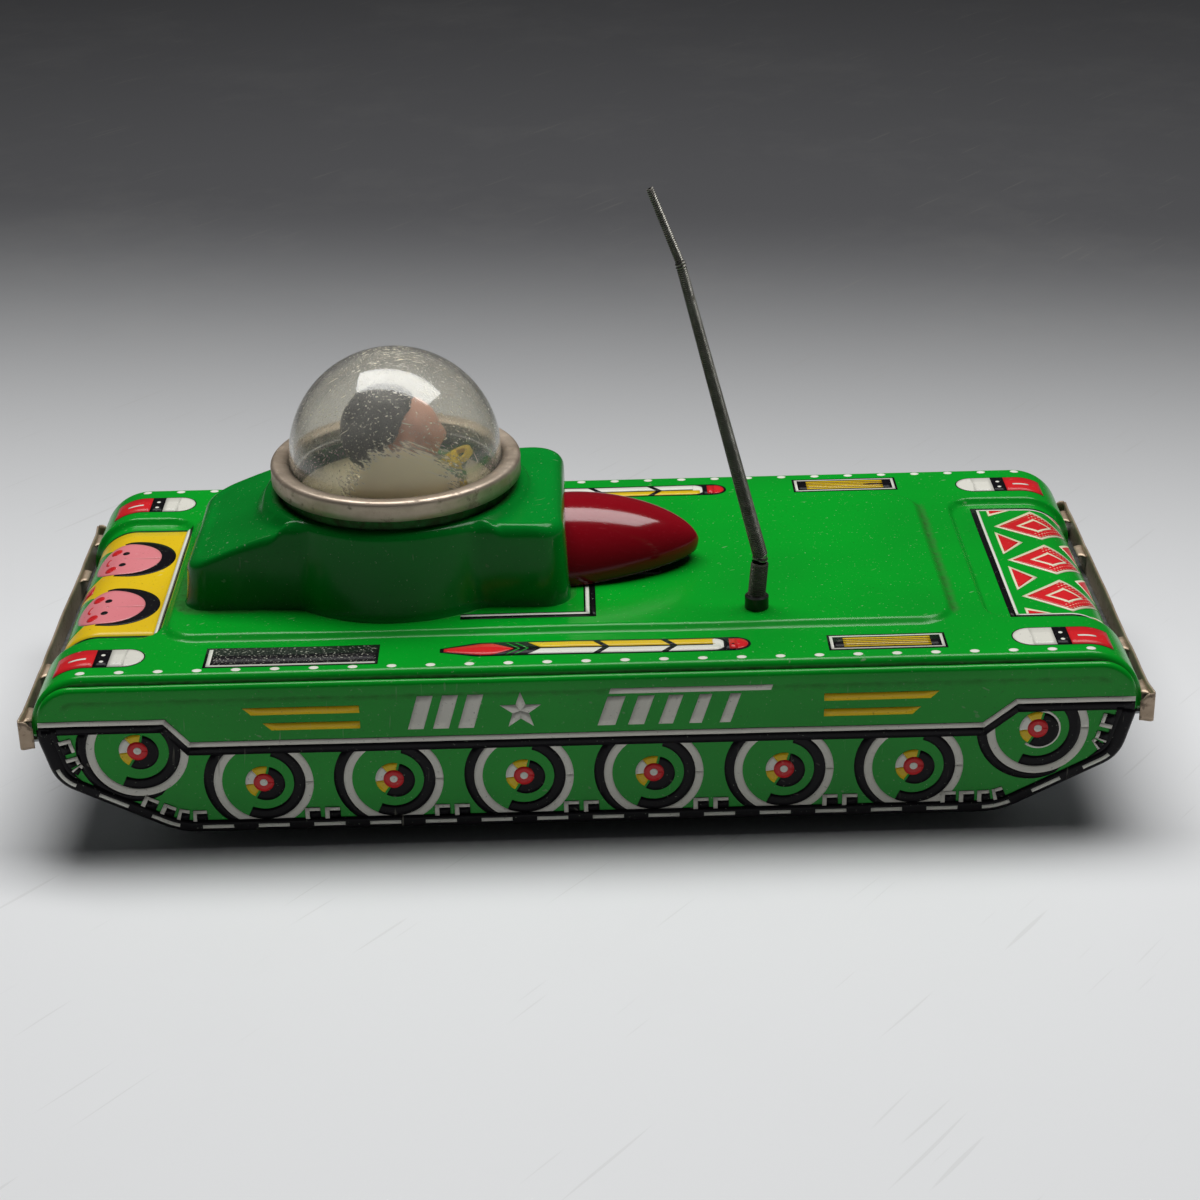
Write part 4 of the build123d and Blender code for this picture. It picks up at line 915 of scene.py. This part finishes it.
def turretSkin():
    # rings around the centre: the foot's radius as a function of the angle, leaning in with height,
    # a quarter-round shoulder, then the roof's height field in to the round collar
    corners = [(turret["rear"], -turret["rearHalf"]), (turret["front"], -turret["frontHalf"]),
               (turret["front"], turret["frontHalf"]), (turret["rear"], turret["rearHalf"])]
    outline, _ = roundedOutline(corners, [turret["corner"]] * 4, 0.8)
    angle = np.arctan2(outline[:, 1], outline[:, 0] - turret["centre"])
    radius = np.hypot(outline[:, 0] - turret["centre"], outline[:, 1])
    order = np.argsort(angle)
    phi = np.linspace(-pi, pi, 300, endpoint=False)
    foot = np.interp(phi, angle[order], radius[order], period=2 * pi)
    foot = softMax(foot, np.full_like(foot, turret["bulge"]), 1.6)
    foot = foot - 0.14 * (1 + ripple(phi * 30, 0 * phi, 26, 1.0))
    tall = turret["top"] - turret["foot"]
    ahead = smooth(0.3, 0.9, np.cos(phi))
    lean = turret["lean"] * (1 - 0.55 * ahead)
    shoulder = foot - lean * tall * 0.85
    bend = np.clip(shoulder - turret["neck"] - 0.25, 0.6, turret["round"])
    inner = shoulder - bend
    cosPhi, sinPhi = np.cos(phi), np.sin(phi)
    crown = turretTop(turret["centre"] + inner * cosPhi, inner * sinPhi)
    rings, wear, shadeAndGrime = [], [], []

    # the last value is painted shade: dark at the foot where the turret meets the deck and down the neck
    # under the dome ring
    def ring(r, z, worn=0.0, shadeAmount=0.0):
        rings.append(np.stack([turret["centre"] + r * cosPhi, r * sinPhi, z + 0 * r], axis=-1))
        wear.append(np.full(len(phi), worn))
        shadeAndGrime.append(np.full(len(phi), shadeAmount))

    wallTop = crown - bend
    for t in (0.0, 0.03, 0.07, 0.15, 0.3, 0.45, 0.6, 0.75, 0.9, 1.0):
        z = turret["foot"] + (wallTop - turret["foot"]) * t
        inward = (foot - shoulder) * t * (wallTop - turret["foot"]) / tall / 0.85
        flare = 0.55 * np.exp(-(z - turret["foot"]) / 0.9)
        dent = 0.22 * ripple(phi * 28, z, 24, 6.0) * smooth(0, 0.3, t) * smooth(1.0, 0.7, t)
        ring(foot - inward + flare + dent, z, 0.5 if t < 0.05 else 0.05, 0.8 * (t < 0.02))
    wallFoot = foot - (foot - shoulder) * (wallTop - turret["foot"]) / tall / 0.85
    bend = np.clip(wallFoot - turret["neck"] - 0.25, 0.6, turret["round"])
    inner = wallFoot - bend
    crown = turretTop(turret["centre"] + inner * cosPhi, inner * sinPhi)
    start = wallTop
    for a in np.linspace(0, pi / 2, 9)[1:]:
        ring(wallFoot - bend * (1 - math.cos(a)), start + (crown - start) * math.sin(a), 0.35)
    for t in np.linspace(0, 1, 17)[1:]:
        r = inner + (turret["neck"] - inner) * t
        z = turretTop(turret["centre"] + r * cosPhi, r * sinPhi)
        ring(r, z + 0.05 * ripple(r * cosPhi, r * sinPhi, 20, 2.0), 0.0, smooth(0.82, 1.0, t) * 0.9)
    ring(np.full(len(phi), turret["neck"]), np.full(len(phi), 61.0), 0.0, 0.9)
    ring(np.full(len(phi), turret["neck"]), np.full(len(phi), turret["neckTop"]), 0.0, 0.9)
    ring(np.full(len(phi), 22.5), np.full(len(phi), turret["neckTop"]), 0.0, 0.9)
    points = np.stack(rings, axis=1)
    faces = gridFaces(len(phi), points.shape[1], loopRows=True)
    piece = makePiece("turret_skin", points, faces, turretTin, "hull",
                      attributes={"wear": np.stack(wear, 1), "shadeAndGrime": np.stack(shadeAndGrime, 1)},
                      shell=turret["thickness"], angle=50)
    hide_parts("turret_shell")


turretSkin()
print("turret skin")

# ---- ring and dome ----

bezel = {"outer": 26.75, "low": 62.3, "high": 66.55, "inner": 22.78}


def domeRing():
    # a rolled band, its section turned about the turret's centre
    r, low, high, inner = (bezel[k] for k in ("outer", "low", "high", "inner"))
    bend = np.linspace(0, pi / 2, 6)
    shoulder = np.stack([r - 1.0 + 1.0 * np.cos(bend), high - 1.0 + 1.0 * np.sin(bend)], -1)
    profile = np.vstack([[(r - 0.5, low), (r - 0.12, low), (r, low + 0.15), (r - 0.05, low + 1.6),
                          (r, high - 1.4)], shoulder, [(24.4, high - 0.12), (23.4, high - 0.35),
                                                       (inner, high - 0.75), (inner, high - 1.3),
                                                       (24.6, high - 0.85), (r - 1.2, high - 0.9),
                                                       (r - 0.5, high - 1.6), (r - 0.5, low)]])
    points, faces = lathe(profile, (turret["centre"], 0), 160, 0.04, 0.7)
    # painted shade: dark along the band's bottom edge, on the inner lip and on the underside
    shadeAndGrime = np.repeat(np.concatenate([[0.8, 0.7, 0.5, 0.1, 0.0], np.zeros(6),
                                      [0.0, 0.3, 0.9, 0.9, 0.9, 0.9, 0.9, 0.9]])[:, None], 160, 1)
    piece = makePiece("dome_bezel", points, faces[:, ::-1], nickelBand, "hull",
                      attributes={"shadeAndGrime": shadeAndGrime}, angle=50)
    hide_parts("dome_ring")


dome = {"outer": 22.7, "inner": 21.75, "centreZ": 67.1, "flange": 24.9, "foot": 62.75}


def domeShell():
    # a hemisphere of two skins, turned about the turret's centre, on a short flange
    outerR, innerR, centreZ = dome["outer"], dome["inner"], dome["centreZ"]
    up = np.linspace(pi / 2, 0, 40)
    outside = np.stack([outerR * np.cos(up), centreZ + outerR * np.sin(up)], -1)
    inside = np.stack([innerR * np.cos(up[::-1]), centreZ + innerR * np.sin(up[::-1])], -1)
    profile = np.vstack([outside, [(outerR, 63.9), (dome["flange"], 63.6),
                                   (dome["flange"], dome["foot"]), (innerR, dome["foot"])], inside])
    points, faces = lathe(profile, (turret["centre"], 0), 128, 0.03, 2.0)
    dx, dy, dz = ((points[..., k] - c) / outerR for k,
                  c in ((0, turret["centre"]), (1, 0.0), (2, centreZ)))
    # most rubbed low on the side that is handled, and in flecks near the crown
    haze = 0.85 * smooth(1.12, 0.30, np.hypot((dx - 0.12) / 0.72, (dz + 0.05) / 0.66)) * smooth(-0.2,
                                                                                                -0.5, dy)
    haze = np.maximum(haze, 0.34 * smooth(0.84, 0.99, dz) * (dy < 0.3))
    # the inner skin stays clear
    haze = haze * smooth(0.965, 0.985, np.sqrt(dx ** 2 + dy ** 2 + dz ** 2))
    piece = makePiece("dome_shell", points, faces, domePlastic, "hull", attributes={"haze": haze})
    bm = bmesh.new()
    bm.from_mesh(piece.data)
    bmesh.ops.recalc_face_normals(bm, faces=bm.faces)
    bm.to_mesh(piece.data)
    bm.free()
    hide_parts("dome")


domeRing()
domeShell()
print("dome and ring")

# ---- red nose ----

nose = {"length": 29.0, "radius": 14.5, "tilt": math.radians(8), "x": -3.5, "z": 41.2,
        "rise": math.tan(math.radians(4.3)), "wall": 1.1}


def noseCone():
    # bullet radius falls as (1 - t^1.6)^0.6; each ring is cut where it meets the sloping open underside
    t = np.concatenate([[-0.10, 0.0], 1 - np.linspace(1, 0, 60)[1:] ** 1.7])
    inside = np.clip(t, 0, 1)
    r = nose["radius"] * (1 - inside ** 1.6) ** 0.6
    c, s = math.cos(nose["tilt"]), math.sin(nose["tilt"])
    cx = nose["x"] + c * nose["length"] * t
    cz = nose["z"] + s * nose["length"] * t
    edge = (40.8 + (cx + 6) * nose["rise"] - cz) / np.maximum(r * (c + nose["rise"] * s), 1e-6)
    start = np.arcsin(np.clip(edge, -1, 1))
    a = start[:, None] + (pi - 2 * start)[:, None] * np.linspace(0, 1, 56)[None, :]
    x = cx[:, None] - r[:, None] * np.sin(a) * s
    y = r[:, None] * np.cos(a)
    z = cz[:, None] + r[:, None] * np.sin(a) * c
    points = np.stack([x, y, z], axis=-1)
    faces = gridFaces(len(t), 56)[:, ::-1]
    piece = makePiece("nose_moulding", points, faces, nosePlastic, "hull", shell=nose["wall"], angle=60)
    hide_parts("nose_cone")


noseCone()
print("nose")

# ---- antenna ----

antenna = {"foot": (36.0, -26.0, 43.6), "stubTop": (36.6, -26.0, 50.9), "kink": (36.8, -26.0, 52.0),
           "bend": (20.4, -26.0, 116.1), "tip": (14.6, -26.0, 131.1), "wire": 0.21}


def coil(path, radii, wire, pitch, sides=5, perTurn=14):
    # wire wound along a path: a ring of the wire's section is carried round the coil's radius
    path = np.array(path, float)
    steps = np.concatenate([[0], np.cumsum(np.linalg.norm(np.diff(path, axis=0), axis=1))])
    turns = steps[-1] / pitch
    n = int(turns * perTurn)
    u = np.linspace(0, steps[-1], n)
    centre = np.stack([np.interp(u, steps, path[:, k]) for k in range(3)], axis=-1)
    axis = np.gradient(centre, axis=0)
    axis /= np.linalg.norm(axis, axis=1, keepdims=True)
    side = np.cross(axis, [0, 1, 0])
    side /= np.linalg.norm(side, axis=1, keepdims=True)
    other = np.cross(axis, side)
    around = 2 * pi * np.arange(n) / perTurn
    rho = np.interp(u, steps, radii) - wire
    radial = side * np.cos(around)[:, None] + other * np.sin(around)[:, None]
    b = np.linspace(0, 2 * pi, sides, endpoint=False)
    ring = radial[:, None, :] * np.cos(b)[None, :, None] + axis[:, None, :] * np.sin(b)[None, :, None]
    points = centre[:, None, :] + radial[:, None, :] * rho[:, None, None] + ring * wire
    return points, gridFaces(n, sides, loopColumns=True)


def core(path, radii, sides=20):
    # dark inside of a close-wound coil, a tube just under the wire
    path = np.array(path, float)
    axis = np.gradient(path, axis=0)
    axis /= np.linalg.norm(axis, axis=1, keepdims=True)
    side = np.cross(axis, [0, 1, 0])
    side /= np.linalg.norm(side, axis=1, keepdims=True)
    other = np.cross(axis, side)
    a = np.linspace(0, 2 * pi, sides, endpoint=False)
    ring = side[:, None, :] * np.cos(a)[None, :, None] + other[:, None, :] * np.sin(a)[None, :, None]
    points = path[:, None, :] + ring * np.asarray(radii)[:, None, None]
    return points, gridFaces(len(path), sides, loopColumns=True)[:, ::-1]


def joined(parts):
    points, faces, start = [], [], 0
    for p, f in parts:
        points.append(np.asarray(p).reshape(-1, 3))
        faces.append(f + start)
        start += len(points[-1])
    return np.concatenate(points), np.concatenate(faces)


def antennaCoils():
    wire = antenna["wire"]
    foot, stubTop, kink, bend, tip = (np.array(antenna[k]) for k in ("foot", "stubTop", "kink", "bend",
                                                                     "tip"))
    parts = [coil([foot, stubTop], [1.92, 1.88], wire, 0.43),
             core([foot, (foot + stubTop) / 2, stubTop], [1.62, 1.6, 1.58])]
    points, faces = joined(parts)
    piece = makePiece("antenna_stub_coil", points, faces, springSteel, "hull", weld=False, angle=60)
    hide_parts("antenna_stub")
    lean = (bend - kink) / np.linalg.norm(bend - kink)
    mastFoot = kink + lean * 0.5
    opened = coil([stubTop + (0, 0, 0.85), kink + lean * 0.3], [1.72, 1.70], 0.24, 0.62)
    mast = coil([mastFoot, bend - lean * 1.0], [1.62, 1.08], wire, 0.43)
    pair = coil([bend - lean * 1.0, bend], [1.16, 1.14], 0.26, 0.62)
    leanTip = (tip - bend) / np.linalg.norm(tip - bend)
    upper = coil([bend + leanTip * 0.3, tip], [0.96, 0.80], wire, 0.43)
    spine = [stubTop + (0, 0, 0.6), kink, kink + lean * 2, (kink + bend) / 2, bend - lean,
             bend + leanTip, tip]
    inside = core(spine, [1.3, 1.35, 1.34, 1.1, 0.8, 0.66, 0.5])
    points, faces = joined([opened, mast, pair, upper, inside])
    piece = makePiece("antenna_mast_coil", points, faces, springSteel, "antenna", weld=False, angle=60)
    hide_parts("antenna_mast", "antenna_tip")


antennaCoils()
print("antenna")

# ---- bumpers ----

bumper = {"x": 115.6, "low": 24.05, "high": 30.45, "half": 50.0, "thickness": 0.35, "ear": 3.1,
          "corner": 0.7}


def bumperStrip(hand, name, node):
    # a flat band across the end whose ends fold back along the toy: x = end - back - wave,
    # where wave is a slow ripple across that buckles the band by about half a millimetre
    y = np.linspace(-bumper["half"] + bumper["corner"], bumper["half"] - bumper["corner"], 120)
    bend = np.linspace(0, pi / 2, 6)
    ear = np.linspace(bumper["ear"], bumper["corner"], 5)[:-1]
    edgeBack = np.concatenate([ear, bumper["corner"] * (1 - np.sin(bend))])
    edgeSide = np.concatenate([np.full(4, bumper["half"]),
                               bumper["half"] - bumper["corner"] * (1 - np.cos(bend))])
    back = np.concatenate([edgeBack[:-1], 0 * y, edgeBack[::-1][1:]])
    across = np.concatenate([-edgeSide[:-1], y, edgeSide[::-1][1:]])
    wave = 0.28 * (1 + ripple(across, 0 * across, 46, 2.0 + hand)) * smooth(50, 44, np.abs(across))
    hollow = 0.35 * (np.exp(-((np.abs(across) - 24) / 3.0) ** 2))
    x = hand * (bumper["x"] - back - wave - hollow * 0.3)
    v = np.linspace(0, 1, 7)
    # ears are cut to a blunt point
    cut = smooth(bumper["corner"], bumper["ear"], back)
    low = bumper["low"] + 0.35 * cut + 0.12 * ripple(across, 0 * across, 33, 7.0)
    high = bumper["high"] - 1.7 * smooth(1.4, 3.1, back) - 0.9 * smooth(0.4, 0.0, back) * (back > 0)
    high = high - 0.12 * (1 + ripple(across, 0 * across, 28, 3.0))
    z = low[:, None] + (high - low)[:, None] * v[None, :]
    bow = 0.25 * np.sin(pi * v)[None, :] * smooth(49.5, 47, np.abs(across))[:, None]
    xx = x[:, None] - hand * (0.12 - bow * 0.4)
    points = np.stack([xx, np.repeat(across[:, None], 7, 1), z], axis=-1)
    faces = gridFaces(len(across), 7)
    if hand < 0:
        faces = faces[:, ::-1]
    parts = [(points, faces)]
    # four short arms hold the band to the end wall
    for spot in (-44, -24, 24, 44):
        u = np.linspace(0, 1, 5)[:, None]
        w = np.linspace(-1, 1, 5)[None, :]
        tx = hand * (113.05 + 2.1 * u) + 0 * w
        ty = spot + w * (2.6 + 0.9 * u ** 2)
        tz = 28.8 + 0.25 * np.sin(pi * u) + 0 * w
        patch = np.stack([tx, ty, tz], axis=-1)
        quads = gridFaces(5, 5)
        parts.append((patch, quads if hand > 0 else quads[:, ::-1]))
    points, faces = joined(parts)
    piece = makePiece(name, points, faces, tarnishedTin, "hull", weld=False, shell=bumper["thickness"])
    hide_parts(node)


bumperStrip(1, "front_bumper_strip", "front_bumper")
bumperStrip(-1, "rear_bumper_strip", "rear_bumper")
print("bumpers")

# ---- driver ----

driver = {"x": -37.6, "z": 71.6, "radius": 7.9}


# directions of a sphere, down from the top and once around
down, around = np.meshgrid(np.linspace(0, pi, 34), np.linspace(0, 2 * pi, 48, endpoint=False), indexing="ij")
nx, ny, nz = np.sin(down) * np.cos(around), np.sin(down) * np.sin(around), np.cos(down)


def driverHead():
    # a sphere whose radius is raised by soft bumps for nose, chin and ears and sunk at the eyes

    def dab(dx, dy, dz, size, height):
        # a soft bump in the direction given, falling off with the cosine of the angle from it
        d = np.array([dx, dy, dz]) / np.linalg.norm([dx, dy, dz])
        return height * np.exp(-(1 - (nx * d[0] + ny * d[1] + nz * d[2])) / size)

    r = driver["radius"] * (1 - 0.10 * ny ** 2) + dab(1, 0, -0.05, 0.02, 1.1) + dab(0.9, 0, -0.65, 0.08,
                                                                                    0.5)
    r = r + dab(0.1, 1, 0, 0.02, 0.7) + dab(0.1, -1, 0, 0.02, 0.7) - dab(1, 0.42, 0.22, 0.02,
                                                                         0.35) - dab(1, -0.42, 0.22,
                                                                                     0.02, 0.35)
    r = np.minimum(r, 9.3)
    points = np.stack([driver["x"] + r * nx, r * ny, driver["z"] + r * nz], axis=-1)
    neck, neckFaces = lathe([(3.3, 66.5), (3.2, 64.6), (3.6, 63.4)], (driver["x"], 0), 24)
    allPoints, faces = joined([(points, gridFaces(34, 48, loopColumns=True)), (neck, neckFaces)])
    piece = makePiece("driver_face", allPoints, faces, skinPaint, "hull", angle=60)
    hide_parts("driver_head")


def driverHair():
    # a cap over the back and crown: the radius grows past the hair line, with locks as fine ridges
    line = smooth(-0.15, 0.2, -nx + 0.80 * nz + 0.22 + 0.10 * np.sin(9 * around) * (1 - np.abs(nz)))
    locks = 0.22 * np.sin(34 * np.arctan2(ny, nx + 0.3)) * np.sin(down)
    hair = 6.4 + line * (3.2 + locks)
    points = np.stack([driver["x"] - 4.0 + hair * nx, hair * ny * 0.95,
                       driver["z"] + 0.6 + hair * nz * 1.04], axis=-1)
    piece = makePiece("driver_hair_cap", points, gridFaces(34, 48, loopColumns=True), hairPaint, "hull",
                      angle=60)
    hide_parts("driver_hair")


def driverBust():
    # a stack of ovals whose half widths shrink upwards as (1 - h^3)^0.5, with shallow folds, and two forearms
    h = np.linspace(0, 1, 18)[:, None]
    a = around[:1]
    shape = (1 - h ** 3) ** 0.5
    wide = 4.0 + 6.8 * shape
    deep = 3.6 + 3.6 * shape
    fold = 1 + 0.03 * np.sin(6 * a + 5 * h)
    points = np.stack([driver["x"] + deep * np.cos(a) * fold, wide * np.sin(a) * fold,
                       58.65 + 6.9 * h + 0 * a], axis=-1)
    arms = []
    for hand in (-1, 1):
        # forearms reach forward to the hand wheel
        t = np.linspace(0, 1, 14)
        path = np.stack([driver["x"] + 3.5 + 9.0 * t, hand * (7.6 - 4.4 * t),
                         62.6 + 1.2 * np.sin(pi * t)], axis=-1)
        arms.append(core(path, 1.6 - 0.5 * t, 14))
    allPoints, faces = joined([(points, gridFaces(18, 48, loopColumns=True)[:, ::-1])] + arms)
    piece = makePiece("driver_bust", allPoints, faces, tunicPaint, "hull", angle=60)
    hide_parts("driver_torso")


driverHead()
driverHair()
driverBust()
print("driver")

# ---- materials for the pieces that keep their modelled shape ----

slotMaterials = {"base_plate": zincTin, "dome_floor": cabPaint, "control_wheel": yellowPlastic,
                 "antenna_socket": blackPlastic, "drive_axle": steelRod, "rear_axle": steelRod,
                 "layshaft": steelRod, "flywheel_shaft": steelRod, "arm_pin": steelRod,
                 "drive_gear": brassGear, "layshaft_gear": brassGear, "layshaft_pinion": brassGear,
                 "flywheel_pinion": brassGear, "flywheel": castLead, "spark_wheel": grit,
                 "flint": flintStone, "flint_arm": zincTin, "flint_spring": springSteel,
                 "motor_plate_left": zincTin, "motor_plate_right": zincTin, "motor_spacers": steelRod,
                 "rear_axle_bracket_left": zincTin, "rear_axle_bracket_right": zincTin,
                 "motor_rivets": steelRod, "bracket_rivets": steelRod, "drive_wheel_left": zincTin,
                 "drive_wheel_right": zincTin, "rear_wheel_left": zincTin, "rear_wheel_right": zincTin,
                 "drive_tyre_left": rubber, "drive_tyre_right": rubber, }
for label, material in slotMaterials.items():
    for entry in nodes[label].material_slots:
        entry.material = material
    nodes[label].data.shade_smooth()
    nodes[label].data.set_sharp_from_angle(angle=math.radians(32))
print("node materials set")

# ---- floor, light and camera ----

# pale paper with painted shade that darkens it towards the back and a little towards the right, with faint
# stains and short scratches
floorTone, tree, bsdf, place = startMaterial("matte_backdrop_paper_painted_falloff")
split = addNode(tree, "ShaderNodeSeparateXYZ", {"Vector": place}, out=None)
depth = addNode(tree, "ShaderNodeMath", {0: split.outputs["X"], 1: 0.16, 2: split.outputs["Y"]},
                operation="MULTIPLY_ADD")
# painted shade: the fade from pale to dark grey stands in for the lamp's falloff
paintedFalloff = addNode(tree, "ShaderNodeMapRange", {"Value": depth, "From Min": -0.04, "From Max": 0.42},
               interpolation_type="SMOOTHSTEP")
tone = addNode(tree, "ShaderNodeMix", {0: paintedFalloff, 6: srgb("e3e4e5"), 7: srgb("545456")}, data_type="RGBA",
               out=2)
blot = addNode(tree, "ShaderNodeTexNoise",
               {"Vector": place, "Scale": 9.0, "Detail": 6.0, "Roughness": 0.7})
blotFac = addNode(tree, "ShaderNodeMapRange",
                  {"Value": blot, "From Min": 0.5, "From Max": 0.8, "To Max": 0.05})
tone = addNode(tree, "ShaderNodeMix", {0: blotFac, 6: tone, 7: srgb("b9b6ae")}, data_type="RGBA", out=2)
laid = addNode(tree, "ShaderNodeMapping",
               {"Vector": place, "Rotation": (0, 0, 0.9), "Scale": (0.035, 0.0014, 1.0)},
               vector_type="TEXTURE")
hair = addNode(tree, "ShaderNodeTexNoise", {"Vector": laid, "Scale": 1.0, "Detail": 0.0})
hairFac = addNode(tree, "ShaderNodeMapRange",
                  {"Value": hair, "From Min": 0.77, "From Max": 0.81, "To Max": 0.12})
tone = addNode(tree, "ShaderNodeMix", {0: hairFac, 6: tone, 7: srgb("8a877e")}, data_type="RGBA", out=2)
tree.links.new(tone, bsdf.inputs["Base Color"])
bsdf.inputs["Roughness"].default_value = 0.42
floorMesh = bpy.data.meshes.new("floor")
floorMesh.from_pydata([(-4, -3, 0), (4, -3, 0), (4, 6, 0), (-4, 6, 0)], [], [(0, 1, 2, 3)])
floorMesh.materials.append(floorTone)
floor = bpy.data.objects.new("floor", floorMesh)
bpy.context.scene.collection.objects.link(floor)


def softbox(name, spot, aim, size, power):
    lamp = bpy.data.lights.new(name, "AREA")
    lamp.shape = "RECTANGLE"
    lamp.size, lamp.size_y = size
    lamp.energy = power
    holder = bpy.data.objects.new(name, lamp)
    bpy.context.scene.collection.objects.link(holder)
    holder.location = spot
    holder.rotation_euler = (Vector(aim) - Vector(spot)).to_track_quat("-Z", "Y").to_euler()


softbox("overhead", (0.04, 0.19, 0.80), (0.0, 0.03, 0.0), (1.0, 0.40), 9.1)
world = bpy.data.worlds.new("studio")
bpy.context.scene.world = world
world.use_nodes = True
world.node_tree.nodes["Background"].inputs["Color"].default_value = srgb("9a9ca0")
world.node_tree.nodes["Background"].inputs["Strength"].default_value = 0.07

yaw, pitch, roll = math.radians(0.43265), math.radians(25.31747), math.radians(-1.26164)
forward = Vector((math.sin(yaw) * math.cos(pitch), math.cos(yaw) * math.cos(pitch), -math.sin(pitch)))
level = Vector((math.cos(yaw), -math.sin(yaw), 0))
upright = level.cross(forward)
right = math.cos(roll) * level + math.sin(roll) * upright
up = -math.sin(roll) * level + math.cos(roll) * upright
camera = bpy.data.objects.new("camera", bpy.data.cameras.new("camera"))
camera.data.lens = 75.0
camera.data.sensor_width = 36.0
camera.data.clip_start = 0.01
camera.matrix_world = Matrix((
    (right.x, up.x, -forward.x, -0.00033),
    (right.y, up.y, -forward.y, -0.49816),
    (right.z, up.z, -forward.z, 0.2665),
    (0, 0, 0, 1)))
bpy.context.scene.collection.objects.link(camera)
bpy.context.scene.camera = camera
bpy.context.scene.view_settings.view_transform = "Standard"
print("stage set")
